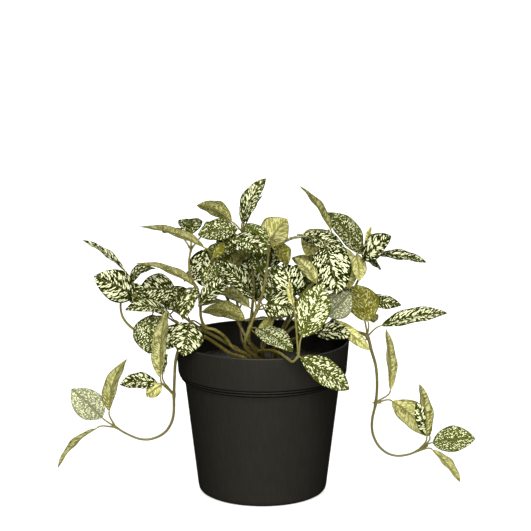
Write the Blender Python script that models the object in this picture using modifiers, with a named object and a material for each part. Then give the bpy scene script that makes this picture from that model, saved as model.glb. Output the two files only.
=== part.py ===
"""Potted nerve plant: a moulded nursery pot, its soil, and leafy stems with whorls of variegated leaves."""

import math

import bmesh
import bpy
from mathutils import Matrix, Vector

# Everything is in millimetres and is turned into metres when a mesh is made.
MM = 0.001
MERGE_DISTANCE = 0.000001
SHARP_ANGLE = math.radians(30)

# The pot
RIM_RADIUS = 60.2
POT_HEIGHT = 108.0
WALL = 1.8
FLOOR_THICKNESS = 2.4
LIP_ROUNDING = 0.5
COLLAR_FOOT_Z = 85.4
COLLAR_FOOT_RADIUS = 58.4
SHOULDER_FOOT_Z = 77.0
SHOULDER_FOOT_RADIUS = 53.6
BEADS = 2
BEAD_SPACING = 2.1
GROOVE_DEPTH = 0.8
GROOVE_WIDTH = 0.8
BASE_RADIUS = 44.4
BASE_ROUNDING = 4.5
BASE_ROUNDING_STEPS = 3
INNER_CHAMFER = 3.0
POT_SIDES = 36
DRAIN_HOLES = 6
DRAIN_RING_RADIUS = 30.0
DRAIN_RADIUS = 3.5
DRAIN_SIDES = 8

# The soil
GAP = 0.3
SOIL_TOP_Z = 89.0
SOIL_CROWN = 3.0
SOIL_RINGS = (0.0, 0.35, 0.7)
STEM_HOLE_DEPTH = 14.0
STEM_HOLE_RADIUS = 2.3
STEM_HOLE_SIDES = 6
CUTTER_OVERSHOOT = 8.0

# The stems: each rises straight out of its hole to STEM_CLEAR_Z and then bends.
STEM_RADIUS_FOOT = 1.5
STEM_RADIUS_TIP = 0.8
STEM_CLEAR_Z = 94.0
STEM_RISE = 9.0
STEM_STEP = 12.0

# The leaves: a petiole of six-sided rings runs into a blade that is folded along its midrib.
PETIOLE_RADIUS = 0.65
PETIOLE_STEPS = 2
PETIOLE_SECTION = ((-0.87, 0.5), (0.0, 1.0), (0.87, 0.5), (0.87, -0.5), (0.0, -1.0), (-0.87, -0.5))
RING = 6
MIRRORED_SPLITS = (0, 4)
BLADE_THICKNESS = 0.8
BLADE_STATIONS = (0.08, 0.25, 0.46, 0.69, 0.89)
BLADE_FOLD = 0.16
OUTLINE_FOOT_POWER = 0.76
OUTLINE_TIP_POWER = 0.84

# Places are given as on a front drawing in the plane y = 0: across, up, and the depth behind that plane.
# The drawing is in perspective, as seen from EYE.
EYE = Vector((2.1, -1282.0, 411.0))

# Each leafy stem: where it stands in the soil, its route, and its whorls, each at one point of the route.
# A leaf is its base, its tip, the way its upper side looks, its width, and its arch as a share of its length.
FRONT_STEMS = {
    "trailing_left": {
        "root": (-11, -7),
        "route": [
            (-22, 97, -12), (-32, 104, -16), (-42, 110, -20), (-51, 110.5, -25), (-57, 103, -29),
            (-60.3, 92, -30), (-61.2, 80, -28), (-61.7, 67.5, -26), (-62.2, 53, -26), (-65.5, 44, -27),
            (-71, 38.5, -28), (-79, 35.5, -28), (-87, 36, -28), (-96, 40, -28), (-103, 44.5, -28),
        ],
        "whorls": {
            7: [
                ((-71, 80, -36), (-66.5, 128, -56), (-0.78, 0.6, 0.1), 17, 0.06),
                ((-69.5, 82, -24), (-66, 97, -20), (-0.7, -0.7, 0.0), 8, 0.08),
                ((-73, 76, -27), (-99.5, 75, -30), (0.0, -0.5, 0.86), 16, 0.08),
                ((-70, 75, -30), (-81, 66.5, -36), (0.3, 0.95, 0.1), 10, 0.08),
            ],
            14: [
                ((-112, 51, -28), (-133, 72, -34), (-0.2, -0.9, 0.3), 21, 0.06),
                ((-107, 56, -28), (-94, 93.5, -36), (-0.8, 0.57, 0.25), 17.5, 0.1),
                ((-116, 43.5, -28), (-144, 14, -38), (-0.65, 0.4, 0.65), 16, 0.09),
            ],
        },
    },
    "outer_left": {
        "root": (-13, 5),
        "route": [
            (-24, 104, 2), (-38, 112, 0), (-48, 115, -6), (-56, 117, -12), (-68, 114, -14),
            (-80, 111, -14), (-89, 114.5, -15), (-96, 122, -16), (-98, 131, -17), (-96, 141, -18),
            (-92, 150, -18),
        ],
        "whorls": {
            3: [
                ((-61, 121, -16), (-95, 128, -34), (0.1, -0.35, 0.95), 20, 0.16),
                ((-76, 125, -19), (-78.5, 97, -30), (-0.35, -0.9, 0.3), 25, 0.08),
                ((-57, 118, -22), (-66, 100, -33), (-0.1, -0.85, 0.4), 15, 0.06),
            ],
            10: [
                ((-94.5, 155.5, -17), (-124, 177.5, -12), (0.5, -0.1, 0.85), 15, 0.06),
                ((-88, 138, -20), (-116, 152, -32), (0.1, -0.92, 0.3), 22, 0.06),
                ((-91, 146, -14), (-73, 157, -8), (-0.4, -0.5, 0.8), 12, 0.3),
                ((-90, 147, -14), (-83, 131, -20), (-0.2, -0.8, 0.5), 14, 0.06),
            ],
        },
    },
    "upper_left": {
        "root": (-8, -1),
        "route": [
            (-20, 101, -3), (-26, 109, -6), (-33, 114, -8), (-39.5, 116, -9), (-42.5, 123, -10),
            (-43, 133, -10), (-45, 143, -10), (-49.5, 152, -9), (-50.5, 162, -8), (-49, 171, -8),
        ],
        "whorls": {
            3: [
                ((-50, 119, -24), (-55, 95.5, -48), (0.15, -0.85, 0.4), 24, 0.06),
            ],
            5: [
                ((-43, 132, -21), (-20, 152, -16), (-0.55, -0.6, 0.6), 18, 0.08),
            ],
            6: [
                ((-46, 144.5, -13), (-88, 161, -30), (0.3, 0.46, 0.84), 19, 0.08),
                ((-45, 144, -16), (-55, 121, -30), (-0.6, -0.7, 0.3), 15, 0.08),
                ((-60, 143, 1), (-85, 143, -1), (0.0, -0.85, 0.5), 22, 0.08),
                ((-52, 143, -6), (-68, 130, 2), (-0.1, -0.7, 0.6), 16, 0.06),
            ],
            9: [
                ((-57, 181, -3), (-67, 182, 14), (0.0, -0.2, 0.97), 14, 0.1),
                ((-49, 181, 0), (-50, 192, 26), (0.0, -0.3, 0.95), 17, 0.1),
                ((-40, 181, -4), (-25, 187, 12), (0.0, -0.5, 0.85), 15, 0.1),
            ],
        },
    },
    "middle_left": {
        "root": (-4, 5),
        "route": [(-11, 108, 4), (-18, 122, 10), (-25, 138, 9), (-31, 150, 4), (-34, 161, -2)],
        "whorls": {
            4: [
                ((-40, 172, -18), (-85, 186.5, -36), (0.3, 0.48, 0.82), 20, 0.07),
                ((-34, 165, -17), (-26, 175.5, -20), (0.5, 0.6, 0.3), 7, 0.08),
                ((-39, 171, -1), (-42, 145, 5), (-0.4, -0.85, 0.1), 20, 0.06),
                ((-31, 163, -7), (-30, 142, -4), (0.1, -0.85, 0.3), 22, 0.06),
            ],
        },
    },
    "centre_left": {
        "root": (-1, 9),
        "route": [
            (-9, 106, 8), (-8, 120, 8), (-6.5, 137, 7), (-6.5, 153, 6), (-8.5, 168, 3), (-13, 182, -1),
        ],
        "whorls": {
            1: [
                ((-9, 130, -4), (-31, 140, -10), (0.1, 0.8, 0.55), 15, 0.25),
                ((-12, 121, -4), (-42, 127, -16), (0.1, 0.85, 0.5), 17, 0.15),
            ],
            5: [
                ((-14, 189, -4), (2.5, 220, -8), (-0.75, -0.6, 0.3), 18, 0.1),
                ((-11, 189, 0), (0.5, 209, 8), (-0.85, -0.1, 0.5), 14, 0.05),
                ((-21, 190, 0), (-45, 201.5, -2), (0.35, 0.75, 0.55), 17, 0.14),
                ((-12, 188.5, -6), (4.5, 171.5, -14), (0.35, -0.75, 0.55), 14, 0.08),
                ((-22, 178, -12), (4, 167.5, -26), (0.1, -0.75, 0.65), 16, 0.1),
                ((-17, 185, -8), (-44.5, 181, -10), (-0.1, -0.75, 0.6), 17, 0.1),
                ((-17, 181, -9), (-32, 171, -10), (0.0, -0.8, 0.5), 14, 0.06),
            ],
        },
    },
    "centre": {
        "root": (-2, -9),
        "route": [
            (-12, 102, -14), (-9, 115, -14), (-4, 128, -12), (0, 140, -10), (2.5, 153, -8),
            (4, 166, -6), (5.5, 177, -5),
        ],
        "whorls": {
            1: [
                ((-4, 115, -22), (21, 98.5, -52), (0.2, -0.75, 0.65), 17, 0.06),
                ((-3, 112, -12), (8, 124, -4), (0.5, 0.8, 0.2), 8, 0.05),
            ],
            2: [
                ((-6, 136, -13), (-32.5, 162.5, -24), (0.55, -0.75, 0.4), 15, 0.08),
                ((2, 132, -16), (24, 127, -26), (0.1, -0.75, 0.6), 22, 0.08),
                ((4, 134, 11), (11, 160, 13), (-0.2, -0.85, 0.4), 19, 0.06),
            ],
            4: [
                ((-1, 154, -3), (-5, 172, -2), (-0.3, -0.85, 0.3), 12, 0.06),
            ],
            6: [
                ((3, 174, -3), (17, 192, 3), (-0.1, 0.9, 0.4), 24, 0.1),
                ((9, 174.5, -7), (18, 160.5, -14), (0.4, 0.85, 0.3), 14, 0.08),
                ((9, 171, -9), (35, 178, -14), (-0.2, 0.1, 0.97), 14, 0.14),
            ],
        },
    },
    "front_right": {
        "root": (4, -14),
        "route": [
            (-3, 98, -25), (4, 99.5, -40), (11, 98, -54), (17, 94, -63), (21, 91.5, -67), (25, 95.5, -66),
        ],
        "whorls": {
            5: [
                ((27, 109, -62), (42, 147, -48), (-0.1, -0.95, 0.3), 23, 0.06),
                ((26.5, 94.5, -66), (60.5, 71.5, -62), (0.35, -0.8, 0.5), 19, 0.08),
                ((21.5, 131, -64), (18.5, 149, -60), (-0.7, 0.7, 0.1), 6.5, 0.06),
            ],
        },
    },
    "upper_right": {
        "root": (7, 0),
        "route": [
            (11, 108, 2), (16, 119, 1), (22, 131, -4), (30, 142, -6), (38, 151, -6), (43, 165, -4),
            (46, 178, -2),
        ],
        "whorls": {
            2: [
                ((21, 137, -2), (14, 161, -2), (0.0, -0.9, 0.3), 24, 0.08),
            ],
            4: [
                ((37, 147, -35), (22.5, 165, -36), (0.5, 0.75, 0.4), 13, 0.08),
                ((36, 137, 2), (22, 160, 6), (-0.2, -0.9, 0.3), 20, 0.06),
            ],
            6: [
                ((47, 184, -5), (25, 215, -12), (0.78, 0.42, 0.45), 15, 0.06),
                ((45, 184, 2), (30, 166, 8), (-0.3, 0.9, 0.3), 22, 0.1),
                ((43, 174, -14), (53, 139, -32), (0.0, -0.85, 0.5), 27, 0.08),
                ((25, 180, -4), (60, 162, -6), (0.2, -0.6, 0.8), 18, 0.16),
                ((54, 173, 4), (60, 143, 8), (0.2, 0.9, 0.2), 18, 0.06),
            ],
        },
    },
    "outer_right": {
        "root": (11, 6),
        "route": [
            (17, 112, 8), (32, 122, 10), (47, 131, 10), (58, 138, 7), (64.5, 146, 4), (68, 156, 1),
            (69.5, 163, -2),
        ],
        "whorls": {
            6: [
                ((68, 167.5, 8), (44, 196.5, 12), (0.45, -0.65, 0.6), 22, 0.06),
                ((64.5, 167, -3), (66.5, 148.5, -3), (0.3, 0.9, 0.2), 11, 0.08),
                ((68.5, 164.8, -11), (88.5, 180, -24), (-0.3, -0.75, 0.6), 19, 0.06),
                ((78, 167, -4), (113, 161.5, -10), (0.0, -0.25, 0.97), 16, 0.06),
                ((72, 163, -4), (81.5, 157.5, 4), (0.2, -0.5, 0.8), 11, 0.06),
                ((71, 173, 4), (74.5, 187, 10), (-0.2, 0.9, 0.3), 4.5, 0.06),
            ],
        },
    },
    "trailing_right": {
        "root": (8, 12),
        "route": [
            (14, 104, 14), (30, 110, 12), (45, 114, 6), (57, 115, 0), (66, 112.5, -4), (72.5, 109.5, -7),
            (75.8, 98.7, -9), (78.8, 88, -9), (79.8, 75, -9), (79, 62, -9), (76.7, 50, -9), (77, 40.5, -9),
            (80.5, 32, -10), (86.5, 26, -11), (94, 23.5, -12), (102.5, 24.5, -13), (109.5, 27.5, -14),
            (116, 31, -15),
        ],
        "whorls": {
            1: [
                ((36, 112, -8), (61, 109.5, -14), (0.0, -0.45, 0.9), 20, 0.06),
            ],
            2: [
                ((44, 124, -8), (60.5, 141, -11), (0.3, -0.85, 0.4), 20, 0.06),
                ((50, 121, -4), (74.5, 99.5, -18), (0.25, 0.92, -0.3), 9, 0.08),
            ],
            5: [
                ((82, 117, -10), (128, 126, -16), (-0.15, -0.45, 0.88), 17, 0.07),
                ((73, 134, -3), (96, 131.5, -10), (-0.1, -0.7, 0.65), 11, 0.06),
                ((73, 120, -12), (64, 146, -9), (0.3, 0.9, 0.1), 23, 0.08),
            ],
            9: [
                ((89, 71, -9), (85.5, 115, -14), (0.88, 0.45, 0.0), 14, 0.05),
                ((90.5, 63, -10), (116, 37.5, -14), (0.35, 0.85, 0.3), 22, 0.12),
            ],
            16: [
                ((115, 38, -24), (109.5, 75.5, -32), (0.8, 0.55, 0.0), 14, 0.06),
                ((117, 38, -20), (107, 62, -26), (0.3, -0.9, 0.3), 12, 0.06),
                ((119, 33, -15), (149, 36, -20), (0.1, -0.8, 0.55), 19, 0.06),
                ((119, 28, -14), (139, 4, -20), (0.65, 0.5, 0.55), 16, 0.06),
            ],
        },
    },
}

# The stems at the back, which the photograph cannot show, are drawn so that the front ones hide them.
BACK_STEMS = {
    "back_left": {
        "root": (-8, 14),
        "route": [(-13, 104, 18), (-15, 114, 22), (-16.5, 128, 26), (-20, 142, 32), (-26, 153, 38)],
        "whorls": {
            2: [
                ((-20, 131, 31), (-42, 131, 50), (-0.1, 0.5, 0.85), 20, 0.1),
                ((-13, 134, 30), (1, 146, 50), (0.2, 0.6, 0.8), 20, 0.1),
            ],
            3: [
                ((-26, 143, 28), (-50, 149, 22), (-0.2, 0.3, 0.9), 20, 0.1),
            ],
            4: [
                ((-31, 155, 42), (-54, 148, 56), (-0.3, 0.5, 0.8), 21, 0.1),
                ((-26, 158, 43), (-30, 176, 64), (-0.1, 0.2, 0.97), 22, 0.08),
                ((-22, 157, 38), (-5, 170, 32), (0.1, 0.6, 0.8), 18, 0.08),
            ],
        },
    },
    "back_right": {
        "root": (7, 19),
        "route": [(11, 104, 22), (16, 116, 26), (24, 128, 30), (34, 139, 34), (42, 150, 38)],
        "whorls": {
            2: [
                ((22, 131, 36), (6, 137, 58), (-0.2, 0.5, 0.85), 20, 0.1),
                ((28, 128, 36), (45, 127, 60), (0.2, 0.5, 0.85), 20, 0.1),
            ],
            3: [
                ((40, 140, 30), (60, 146, 22), (0.2, 0.3, 0.9), 20, 0.1),
            ],
            4: [
                ((46, 152, 40), (66, 152, 58), (0.3, 0.5, 0.8), 21, 0.1),
                ((42, 155, 42), (38, 172, 64), (0.1, 0.2, 0.97), 22, 0.08),
                ((38, 154, 37), (20, 165, 37), (-0.1, 0.6, 0.8), 18, 0.08),
            ],
        },
    },
    "back_upright": {
        "root": (0, 20),
        "route": [(3, 106, 23), (5, 122, 23), (4, 140, 22), (0, 156, 20), (-2, 170, 19)],
        "whorls": {
            1: [
                ((-1, 134, 20), (-12, 165, 15), (0.0, -0.9, 0.3), 20, 0.06),
            ],
            2: [
                ((8, 143, 26), (26, 150, 44), (0.2, 0.5, 0.85), 19, 0.1),
                ((1, 144, 27), (-14, 148, 48), (-0.2, 0.4, 0.9), 19, 0.1),
            ],
            3: [
                ((3, 158, 24), (10, 179, 30), (0.1, -0.8, 0.4), 18, 0.06),
            ],
            4: [
                ((1, 175, 21), (14, 182, 36), (0.2, 0.3, 0.95), 17, 0.1),
                ((-5, 174, 22), (-26, 176, 36), (-0.2, 0.4, 0.9), 20, 0.1),
                ((-2, 177, 23), (-6, 186, 46), (0.0, 0.1, 0.97), 20, 0.1),
            ],
        },
    },
    "back_outer_left": {
        "root": (-15, 13),
        "route": [(-24, 104, 17), (-38, 112, 24), (-50, 120, 29), (-61, 128, 33)],
        "whorls": {
            2: [
                ((-54, 124, 33), (-62, 137, 52), (-0.1, 0.2, 0.97), 18, 0.1),
            ],
            3: [
                ((-66, 130, 35), (-85, 139, 46), (-0.3, 0.3, 0.9), 20, 0.1),
                ((-63, 132, 37), (-68, 145, 58), (-0.1, 0.4, 0.9), 19, 0.1),
                ((-65, 124, 36), (-80, 113, 50), (-0.5, 0.6, 0.6), 19, 0.1),
            ],
        },
    },
    "back_outer_right": {
        "root": (14, 14),
        "route": [(22, 105, 18), (36, 113, 24), (49, 121, 28), (60, 129, 30)],
        "whorls": {
            3: [
                ((65, 131, 32), (82, 139, 44), (0.3, 0.3, 0.9), 20, 0.1),
                ((61, 132, 35), (64, 145, 56), (0.1, 0.4, 0.9), 19, 0.1),
                ((64, 125, 34), (77, 119, 50), (0.4, 0.6, 0.7), 19, 0.1),
            ],
        },
    },
    "back_trailing": {
        "root": (-1, 27),
        "route": [
            (3, 114, 34), (7.8, 123.3, 46), (10.6, 126.7, 57), (12.5, 122.8, 66), (13.4, 112.5, 71),
            (12.4, 99.7, 73), (8.6, 86.7, 74), (2, 75.9, 76), (-7.4, 71, 79),
        ],
        "whorls": {
            3: [
                ((6, 121, 72), (-16, 116, 84), (-0.3, 0.3, 0.9), 19, 0.1),
                ((18, 119, 72), (40, 116, 82), (0.3, 0.3, 0.9), 19, 0.1),
            ],
            5: [
                ((18, 99, 76), (40, 100, 88), (0.3, 0.5, 0.8), 20, 0.1),
                ((8, 95, 79), (-10, 82, 98), (-0.3, 0.7, 0.6), 21, 0.1),
            ],
            8: [
                ((-13, 72, 82), (-37, 76, 88), (-0.1, 0.6, 0.8), 20, 0.1),
                ((-12, 66, 84), (-27, 46, 96), (-0.3, 0.8, 0.45), 21, 0.1),
                ((-4, 65, 84), (10, 46, 96), (0.3, 0.8, 0.5), 20, 0.1),
            ],
        },
    },
}

STEMS = {**FRONT_STEMS, **BACK_STEMS}

# The materials
LEAF_COLOUR = (0.16, 0.22, 0.06, 1.0)
LEAF_ROUGHNESS = 0.45
POT_COLOUR = (0.012, 0.012, 0.011, 1.0)
POT_ROUGHNESS = 0.5
SOIL_COLOUR = (0.020, 0.014, 0.009, 1.0)
SOIL_ROUGHNESS = 0.95


def clear_scene():
    for old in list(bpy.data.objects):
        bpy.data.objects.remove(old)


def new_collection(name):
    made = bpy.data.collections.new(name)
    bpy.context.scene.collection.children.link(made)
    return made


def new_material(name, colour, roughness):
    made = bpy.data.materials.new(name)
    made.use_nodes = True
    shader = made.node_tree.nodes["Principled BSDF"]
    shader.inputs["Base Color"].default_value = colour
    shader.inputs["Roughness"].default_value = roughness
    shader.inputs["Metallic"].default_value = 0.0
    return made


def object_of(name, mesh, collection, material):
    made = bpy.data.objects.new(name, mesh)
    mesh.materials.clear()
    mesh.materials.append(material)
    collection.objects.link(made)
    return made


def mesh_of(bm, name):
    """The bmesh, whose points are in millimetres, as a mesh in metres with its faces turned outwards."""
    bmesh.ops.recalc_face_normals(bm, faces=bm.faces[:])
    bmesh.ops.scale(bm, vec=(MM, MM, MM), verts=bm.verts[:])
    mesh = bpy.data.meshes.new(name)
    bm.to_mesh(mesh)
    bm.free()
    return mesh


def applied(thing, name):
    """The object's evaluated mesh, merged and shaded smooth between sharp edges; the object is removed."""
    graph = bpy.context.evaluated_depsgraph_get()
    mesh = bpy.data.meshes.new_from_object(thing.evaluated_get(graph))
    mesh.name = name
    bpy.data.objects.remove(thing)
    bm = bmesh.new()
    bm.from_mesh(mesh)
    bmesh.ops.remove_doubles(bm, verts=bm.verts[:], dist=MERGE_DISTANCE)
    bm.to_mesh(mesh)
    bm.free()
    mesh.shade_smooth()
    mesh.set_sharp_from_angle(angle=SHARP_ANGLE)
    return mesh


# The pot and the soil


def foot_rounding():
    """The quarter round between the pot's side and its flat bottom."""
    for i in range(BASE_ROUNDING_STEPS + 1):
        angle = -math.pi / 2 * i / BASE_ROUNDING_STEPS
        yield BASE_RADIUS - BASE_ROUNDING * (1 - math.cos(angle)), BASE_ROUNDING * (1 + math.sin(angle))


def pot_outside():
    """The outer profile, downwards: lip, collar, beads on the shoulder, tapering body and rounded foot."""
    yield RIM_RADIUS - LIP_ROUNDING, POT_HEIGHT
    yield RIM_RADIUS, POT_HEIGHT - LIP_ROUNDING
    yield COLLAR_FOOT_RADIUS, COLLAR_FOOT_Z
    slope = (COLLAR_FOOT_RADIUS - SHOULDER_FOOT_RADIUS) / (COLLAR_FOOT_Z - SHOULDER_FOOT_Z)
    for bead in range(BEADS):
        top = COLLAR_FOOT_Z - GROOVE_WIDTH - bead * BEAD_SPACING
        bottom = top - BEAD_SPACING + GROOVE_WIDTH
        radius = COLLAR_FOOT_RADIUS - slope * (COLLAR_FOOT_Z - top)
        yield radius - GROOVE_DEPTH, top
        yield radius, top - GROOVE_WIDTH
        yield radius - slope * (top - bottom), bottom
    yield radius - slope * BEAD_SPACING - GROOVE_DEPTH, top - BEAD_SPACING
    yield SHOULDER_FOOT_RADIUS, SHOULDER_FOOT_Z
    yield from foot_rounding()


def pot_inside(gap=0.0):
    """The inner profile up to the soil's top, bottom to top, moved in by the gap."""
    yield BASE_RADIUS - WALL - INNER_CHAMFER - gap, FLOOR_THICKNESS + gap
    yield BASE_RADIUS - WALL - gap, FLOOR_THICKNESS + INNER_CHAMFER + gap
    yield SHOULDER_FOOT_RADIUS - WALL - gap, SHOULDER_FOOT_Z
    yield COLLAR_FOOT_RADIUS - WALL - gap, COLLAR_FOOT_Z + WALL


def turned(profile, name, collection, material):
    """A closed turned solid from a profile that ends on the axis and runs down its outer side."""
    bm = bmesh.new()
    points = [bm.verts.new((radius * MM, 0.0, z * MM)) for radius, z in profile]
    for upper, lower in zip(points, points[1:]):
        bm.edges.new((upper, lower))
    mesh = bpy.data.meshes.new(name)
    bm.to_mesh(mesh)
    bm.free()
    thing = object_of(name, mesh, collection, material)
    screw = thing.modifiers.new("turn", "SCREW")
    screw.steps = POT_SIDES
    screw.render_steps = POT_SIDES
    screw.use_merge_vertices = True
    screw.merge_threshold = MERGE_DISTANCE
    return object_of(name, applied(thing, name), collection, material)


def add_cutter(radius, low, high, x, y, sides, collection):
    bm = bmesh.new()
    place = Matrix.Translation((x, y, (low + high) / 2))
    bmesh.ops.create_cone(
        bm, cap_ends=True, segments=sides, radius1=radius, radius2=radius, depth=high - low, matrix=place
    )
    made = bpy.data.objects.new("cutter", mesh_of(bm, "cutter"))
    made.hide_render = True
    made.display_type = "WIRE"
    collection.objects.link(made)


def with_boolean(thing, operation, others, solver, collection):
    """The object after one Boolean with all objects of a collection, which are then removed."""
    name = thing.name
    material = thing.active_material
    boolean = thing.modifiers.new("boolean", "BOOLEAN")
    boolean.operation = operation
    boolean.operand_type = "COLLECTION"
    boolean.collection = others
    boolean.solver = solver
    mesh = applied(thing, name)
    for other in list(others.objects):
        bpy.data.objects.remove(other)
    return object_of(name, mesh, collection, material)


def make_pot(collection, cutters, material):
    """The moulded pot, with drain holes round its floor."""
    floor_centre = (0.0, FLOOR_THICKNESS)
    lip = (RIM_RADIUS - WALL, POT_HEIGHT - LIP_ROUNDING), (RIM_RADIUS - WALL + LIP_ROUNDING, POT_HEIGHT)
    bottom_centre = (0.0, 0.0)
    profile = [floor_centre, *pot_inside(), *lip, *pot_outside(), bottom_centre]
    pot = turned(profile, "pot", collection, material)
    low, high = -CUTTER_OVERSHOOT, FLOOR_THICKNESS + CUTTER_OVERSHOOT
    for i in range(DRAIN_HOLES):
        angle = math.tau * (i + 0.5) / DRAIN_HOLES
        x = DRAIN_RING_RADIUS * math.cos(angle)
        y = DRAIN_RING_RADIUS * math.sin(angle)
        add_cutter(DRAIN_RADIUS, low, high, x, y, DRAIN_SIDES, cutters)
    return with_boolean(pot, "DIFFERENCE", cutters, "EXACT", collection)


def soil_top():
    """The crowned top of the soil, from its middle to the pot's wall."""
    edge = COLLAR_FOOT_RADIUS - WALL - GAP
    for share in SOIL_RINGS:
        yield edge * share, SOIL_TOP_Z + SOIL_CROWN * (1 - share ** 2)
    yield edge, SOIL_TOP_Z


def make_soil(collection, cutters, material):
    """The soil, which fills the pot and has a plain hole for every stem."""
    sides = list(pot_inside(GAP))[::-1]
    soil = turned([*soil_top(), *sides, (0.0, FLOOR_THICKNESS + GAP)], "soil", collection, material)
    low, high = SOIL_TOP_Z - STEM_HOLE_DEPTH, SOIL_TOP_Z + CUTTER_OVERSHOOT
    for plan in STEMS.values():
        x, y = plan["root"]
        add_cutter(STEM_HOLE_RADIUS, low, high, x, y, STEM_HOLE_SIDES, cutters)
    return with_boolean(soil, "DIFFERENCE", cutters, "EXACT", collection)


# The stems and the leaves


def from_drawing(across, up, depth):
    """The point at this depth that the eye sees at (across, up) on the drawing."""
    on_plane = Vector((across, 0.0, up))
    return EYE + (on_plane - EYE) * ((depth - EYE.y) / -EYE.y)


def smooth_points(points, step, start):
    """Points about one step apart on a smooth curve through the given ones, and where each given one lies."""
    ends = [points[1] - start * 2, *points, points[-1] * 2 - points[-2]]
    made, places = [], []
    for before, here, there, after in zip(ends, ends[1:], ends[2:], ends[3:]):
        places.append(len(made))
        count = max(1, round((there - here).length / step))
        straight = there - before
        bend = before * 2 - here * 5 + there * 4 - after
        twist = here * 3 - before - there * 3 + after
        for i in range(count):
            t = i / count
            made.append((here * 2 + straight * t + bend * t ** 2 + twist * t ** 3) / 2)
    places.append(len(made))
    made.append(points[-1])
    return made, places


def add_stem_tube(name, points, collection, material):
    """A closed tube along the points that tapers towards its tip."""
    curve = bpy.data.curves.new(name, "CURVE")
    curve.dimensions = "3D"
    curve.bevel_depth = STEM_RADIUS_FOOT * MM
    curve.bevel_resolution = 1
    curve.use_fill_caps = True
    spline = curve.splines.new("POLY")
    spline.points.add(len(points) - 1)
    for i, (knot, point) in enumerate(zip(spline.points, points)):
        share = i / (len(points) - 1)
        knot.co = (*(point * MM), 1.0)
        knot.radius = 1 + (STEM_RADIUS_TIP / STEM_RADIUS_FOOT - 1) * share
    thing = bpy.data.objects.new(name, curve)
    collection.objects.link(thing)
    return object_of(name, applied(thing, name), collection, material)


class Blade:
    """A leaf's curved surface, with a place for each share of its length and of its half width."""

    def __init__(self, base, tip, face, width, arch):
        self.base = base
        self.chord = tip - base
        along = self.chord.normalized()
        face = Vector(face)
        self.up = (face - along * face.dot(along)).normalized()
        self.side = along.cross(self.up)
        self.half = width / 2
        self.arch = arch * self.chord.length

    def half_width(self, t):
        """The outline: zero at both ends, and widest about its middle."""
        foot, tip = OUTLINE_FOOT_POWER, OUTLINE_TIP_POWER
        widest = foot / (foot + tip)
        peak = widest ** foot * (1 - widest) ** tip
        return self.half * t ** foot * (1 - t) ** tip / peak

    def at(self, t, s):
        """The point at share t of the length and s of the half width, from -1 to 1."""
        out = self.half_width(t) * s
        lift = self.arch * 4 * t * (1 - t) + BLADE_FOLD * abs(out)
        return self.base + self.chord * t + self.side * out + self.up * lift


def petiole_rings(node, blade):
    """Rings from inside the stem to the blade's foot, turned the way the blade is."""
    foot = blade.base
    reach = (foot - node).length / 3
    leaving = node + (foot - node).normalized() * reach
    arriving = foot - blade.chord.normalized() * reach
    for i in range(PETIOLE_STEPS + 1):
        t = i / PETIOLE_STEPS
        near = node * (1 - t) ** 3 + leaving * 3 * t * (1 - t) ** 2
        point = near + arriving * 3 * t ** 2 * (1 - t) + foot * t ** 3
        along = ((leaving - node) * (1 - t) + (foot - arriving) * t).normalized()
        side = (blade.side - along * blade.side.dot(along)).normalized() * PETIOLE_RADIUS
        up = side.cross(along)
        yield [point + side * s + up * h for s, h in PETIOLE_SECTION]


def blade_rings(blade):
    """The blade's upper side from left to right, then its under side back again, at each station."""
    drop = blade.up * BLADE_THICKNESS
    for t in BLADE_STATIONS:
        upper = [blade.at(t, s) for s in (-1, 0, 1)]
        yield [*upper, *[point - drop for point in reversed(upper)]]


def leaf_mesh(node, blade):
    """One closed leaf, from inside the stem along its petiole to its tip, split alike on both faces."""
    bm = bmesh.new()
    sections = (*petiole_rings(node, blade), *blade_rings(blade))
    rings = [[bm.verts.new(point) for point in section] for section in sections]
    for low, high in zip(rings, rings[1:]):
        for k in range(RING):
            n = (k + 1) % RING
            if k in MIRRORED_SPLITS:
                bm.faces.new((low[k], low[n], high[n]))
                bm.faces.new((low[k], high[n], high[k]))
            else:
                bm.faces.new((low[k], low[n], high[k]))
                bm.faces.new((low[n], high[n], high[k]))
    first, last = rings[0], rings[-1]
    bm.faces.new(first[:3])
    bm.faces.new(first[3:])
    bm.faces.new((first[0], first[2], first[3], first[5]))
    tip = bm.verts.new(blade.at(1.0, 0))
    under = bm.verts.new(blade.at(1.0, 0) - blade.up * BLADE_THICKNESS)
    bm.faces.new((last[0], last[1], tip))
    bm.faces.new((last[1], last[2], tip))
    bm.faces.new((last[3], last[4], under))
    bm.faces.new((last[4], last[5], under))
    bm.faces.new((last[2], last[3], under, tip))
    bm.faces.new((last[5], last[0], tip, under))
    return mesh_of(bm, "leaf")


def stem_points(plan):
    """The stem's points from the bottom of its hole to its tip, and the point of each place on its route."""
    x, y = plan["root"]
    route = [Vector((x, y, STEM_CLEAR_Z)), *[from_drawing(*place) for place in plan["route"]]]
    points, places = smooth_points(route, STEM_STEP, Vector((0, 0, STEM_RISE)))
    bottom = Vector((x, y, SOIL_TOP_Z - STEM_HOLE_DEPTH + GAP))
    return [bottom, *points], [points[place] for place in places[1:]]


def stem_leaves(plan, nodes):
    """The mesh of each leaf of the stem."""
    for where, leaves in plan["whorls"].items():
        for base, tip, face, width, arch in leaves:
            blade = Blade(from_drawing(*base), from_drawing(*tip), face, width, arch)
            yield leaf_mesh(nodes[where], blade)


def make_leafy_stem(name, plan, collection, material):
    """One body: the stem joined with all its leaves by one Boolean union."""
    points, nodes = stem_points(plan)
    stem = add_stem_tube("leafy_stem_" + name, points, collection, material)
    leaves = new_collection("leaves")
    for mesh in stem_leaves(plan, nodes):
        object_of("leaf", mesh, leaves, material)
    with_boolean(stem, "UNION", leaves, "MANIFOLD", collection)
    bpy.data.collections.remove(leaves)


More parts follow.
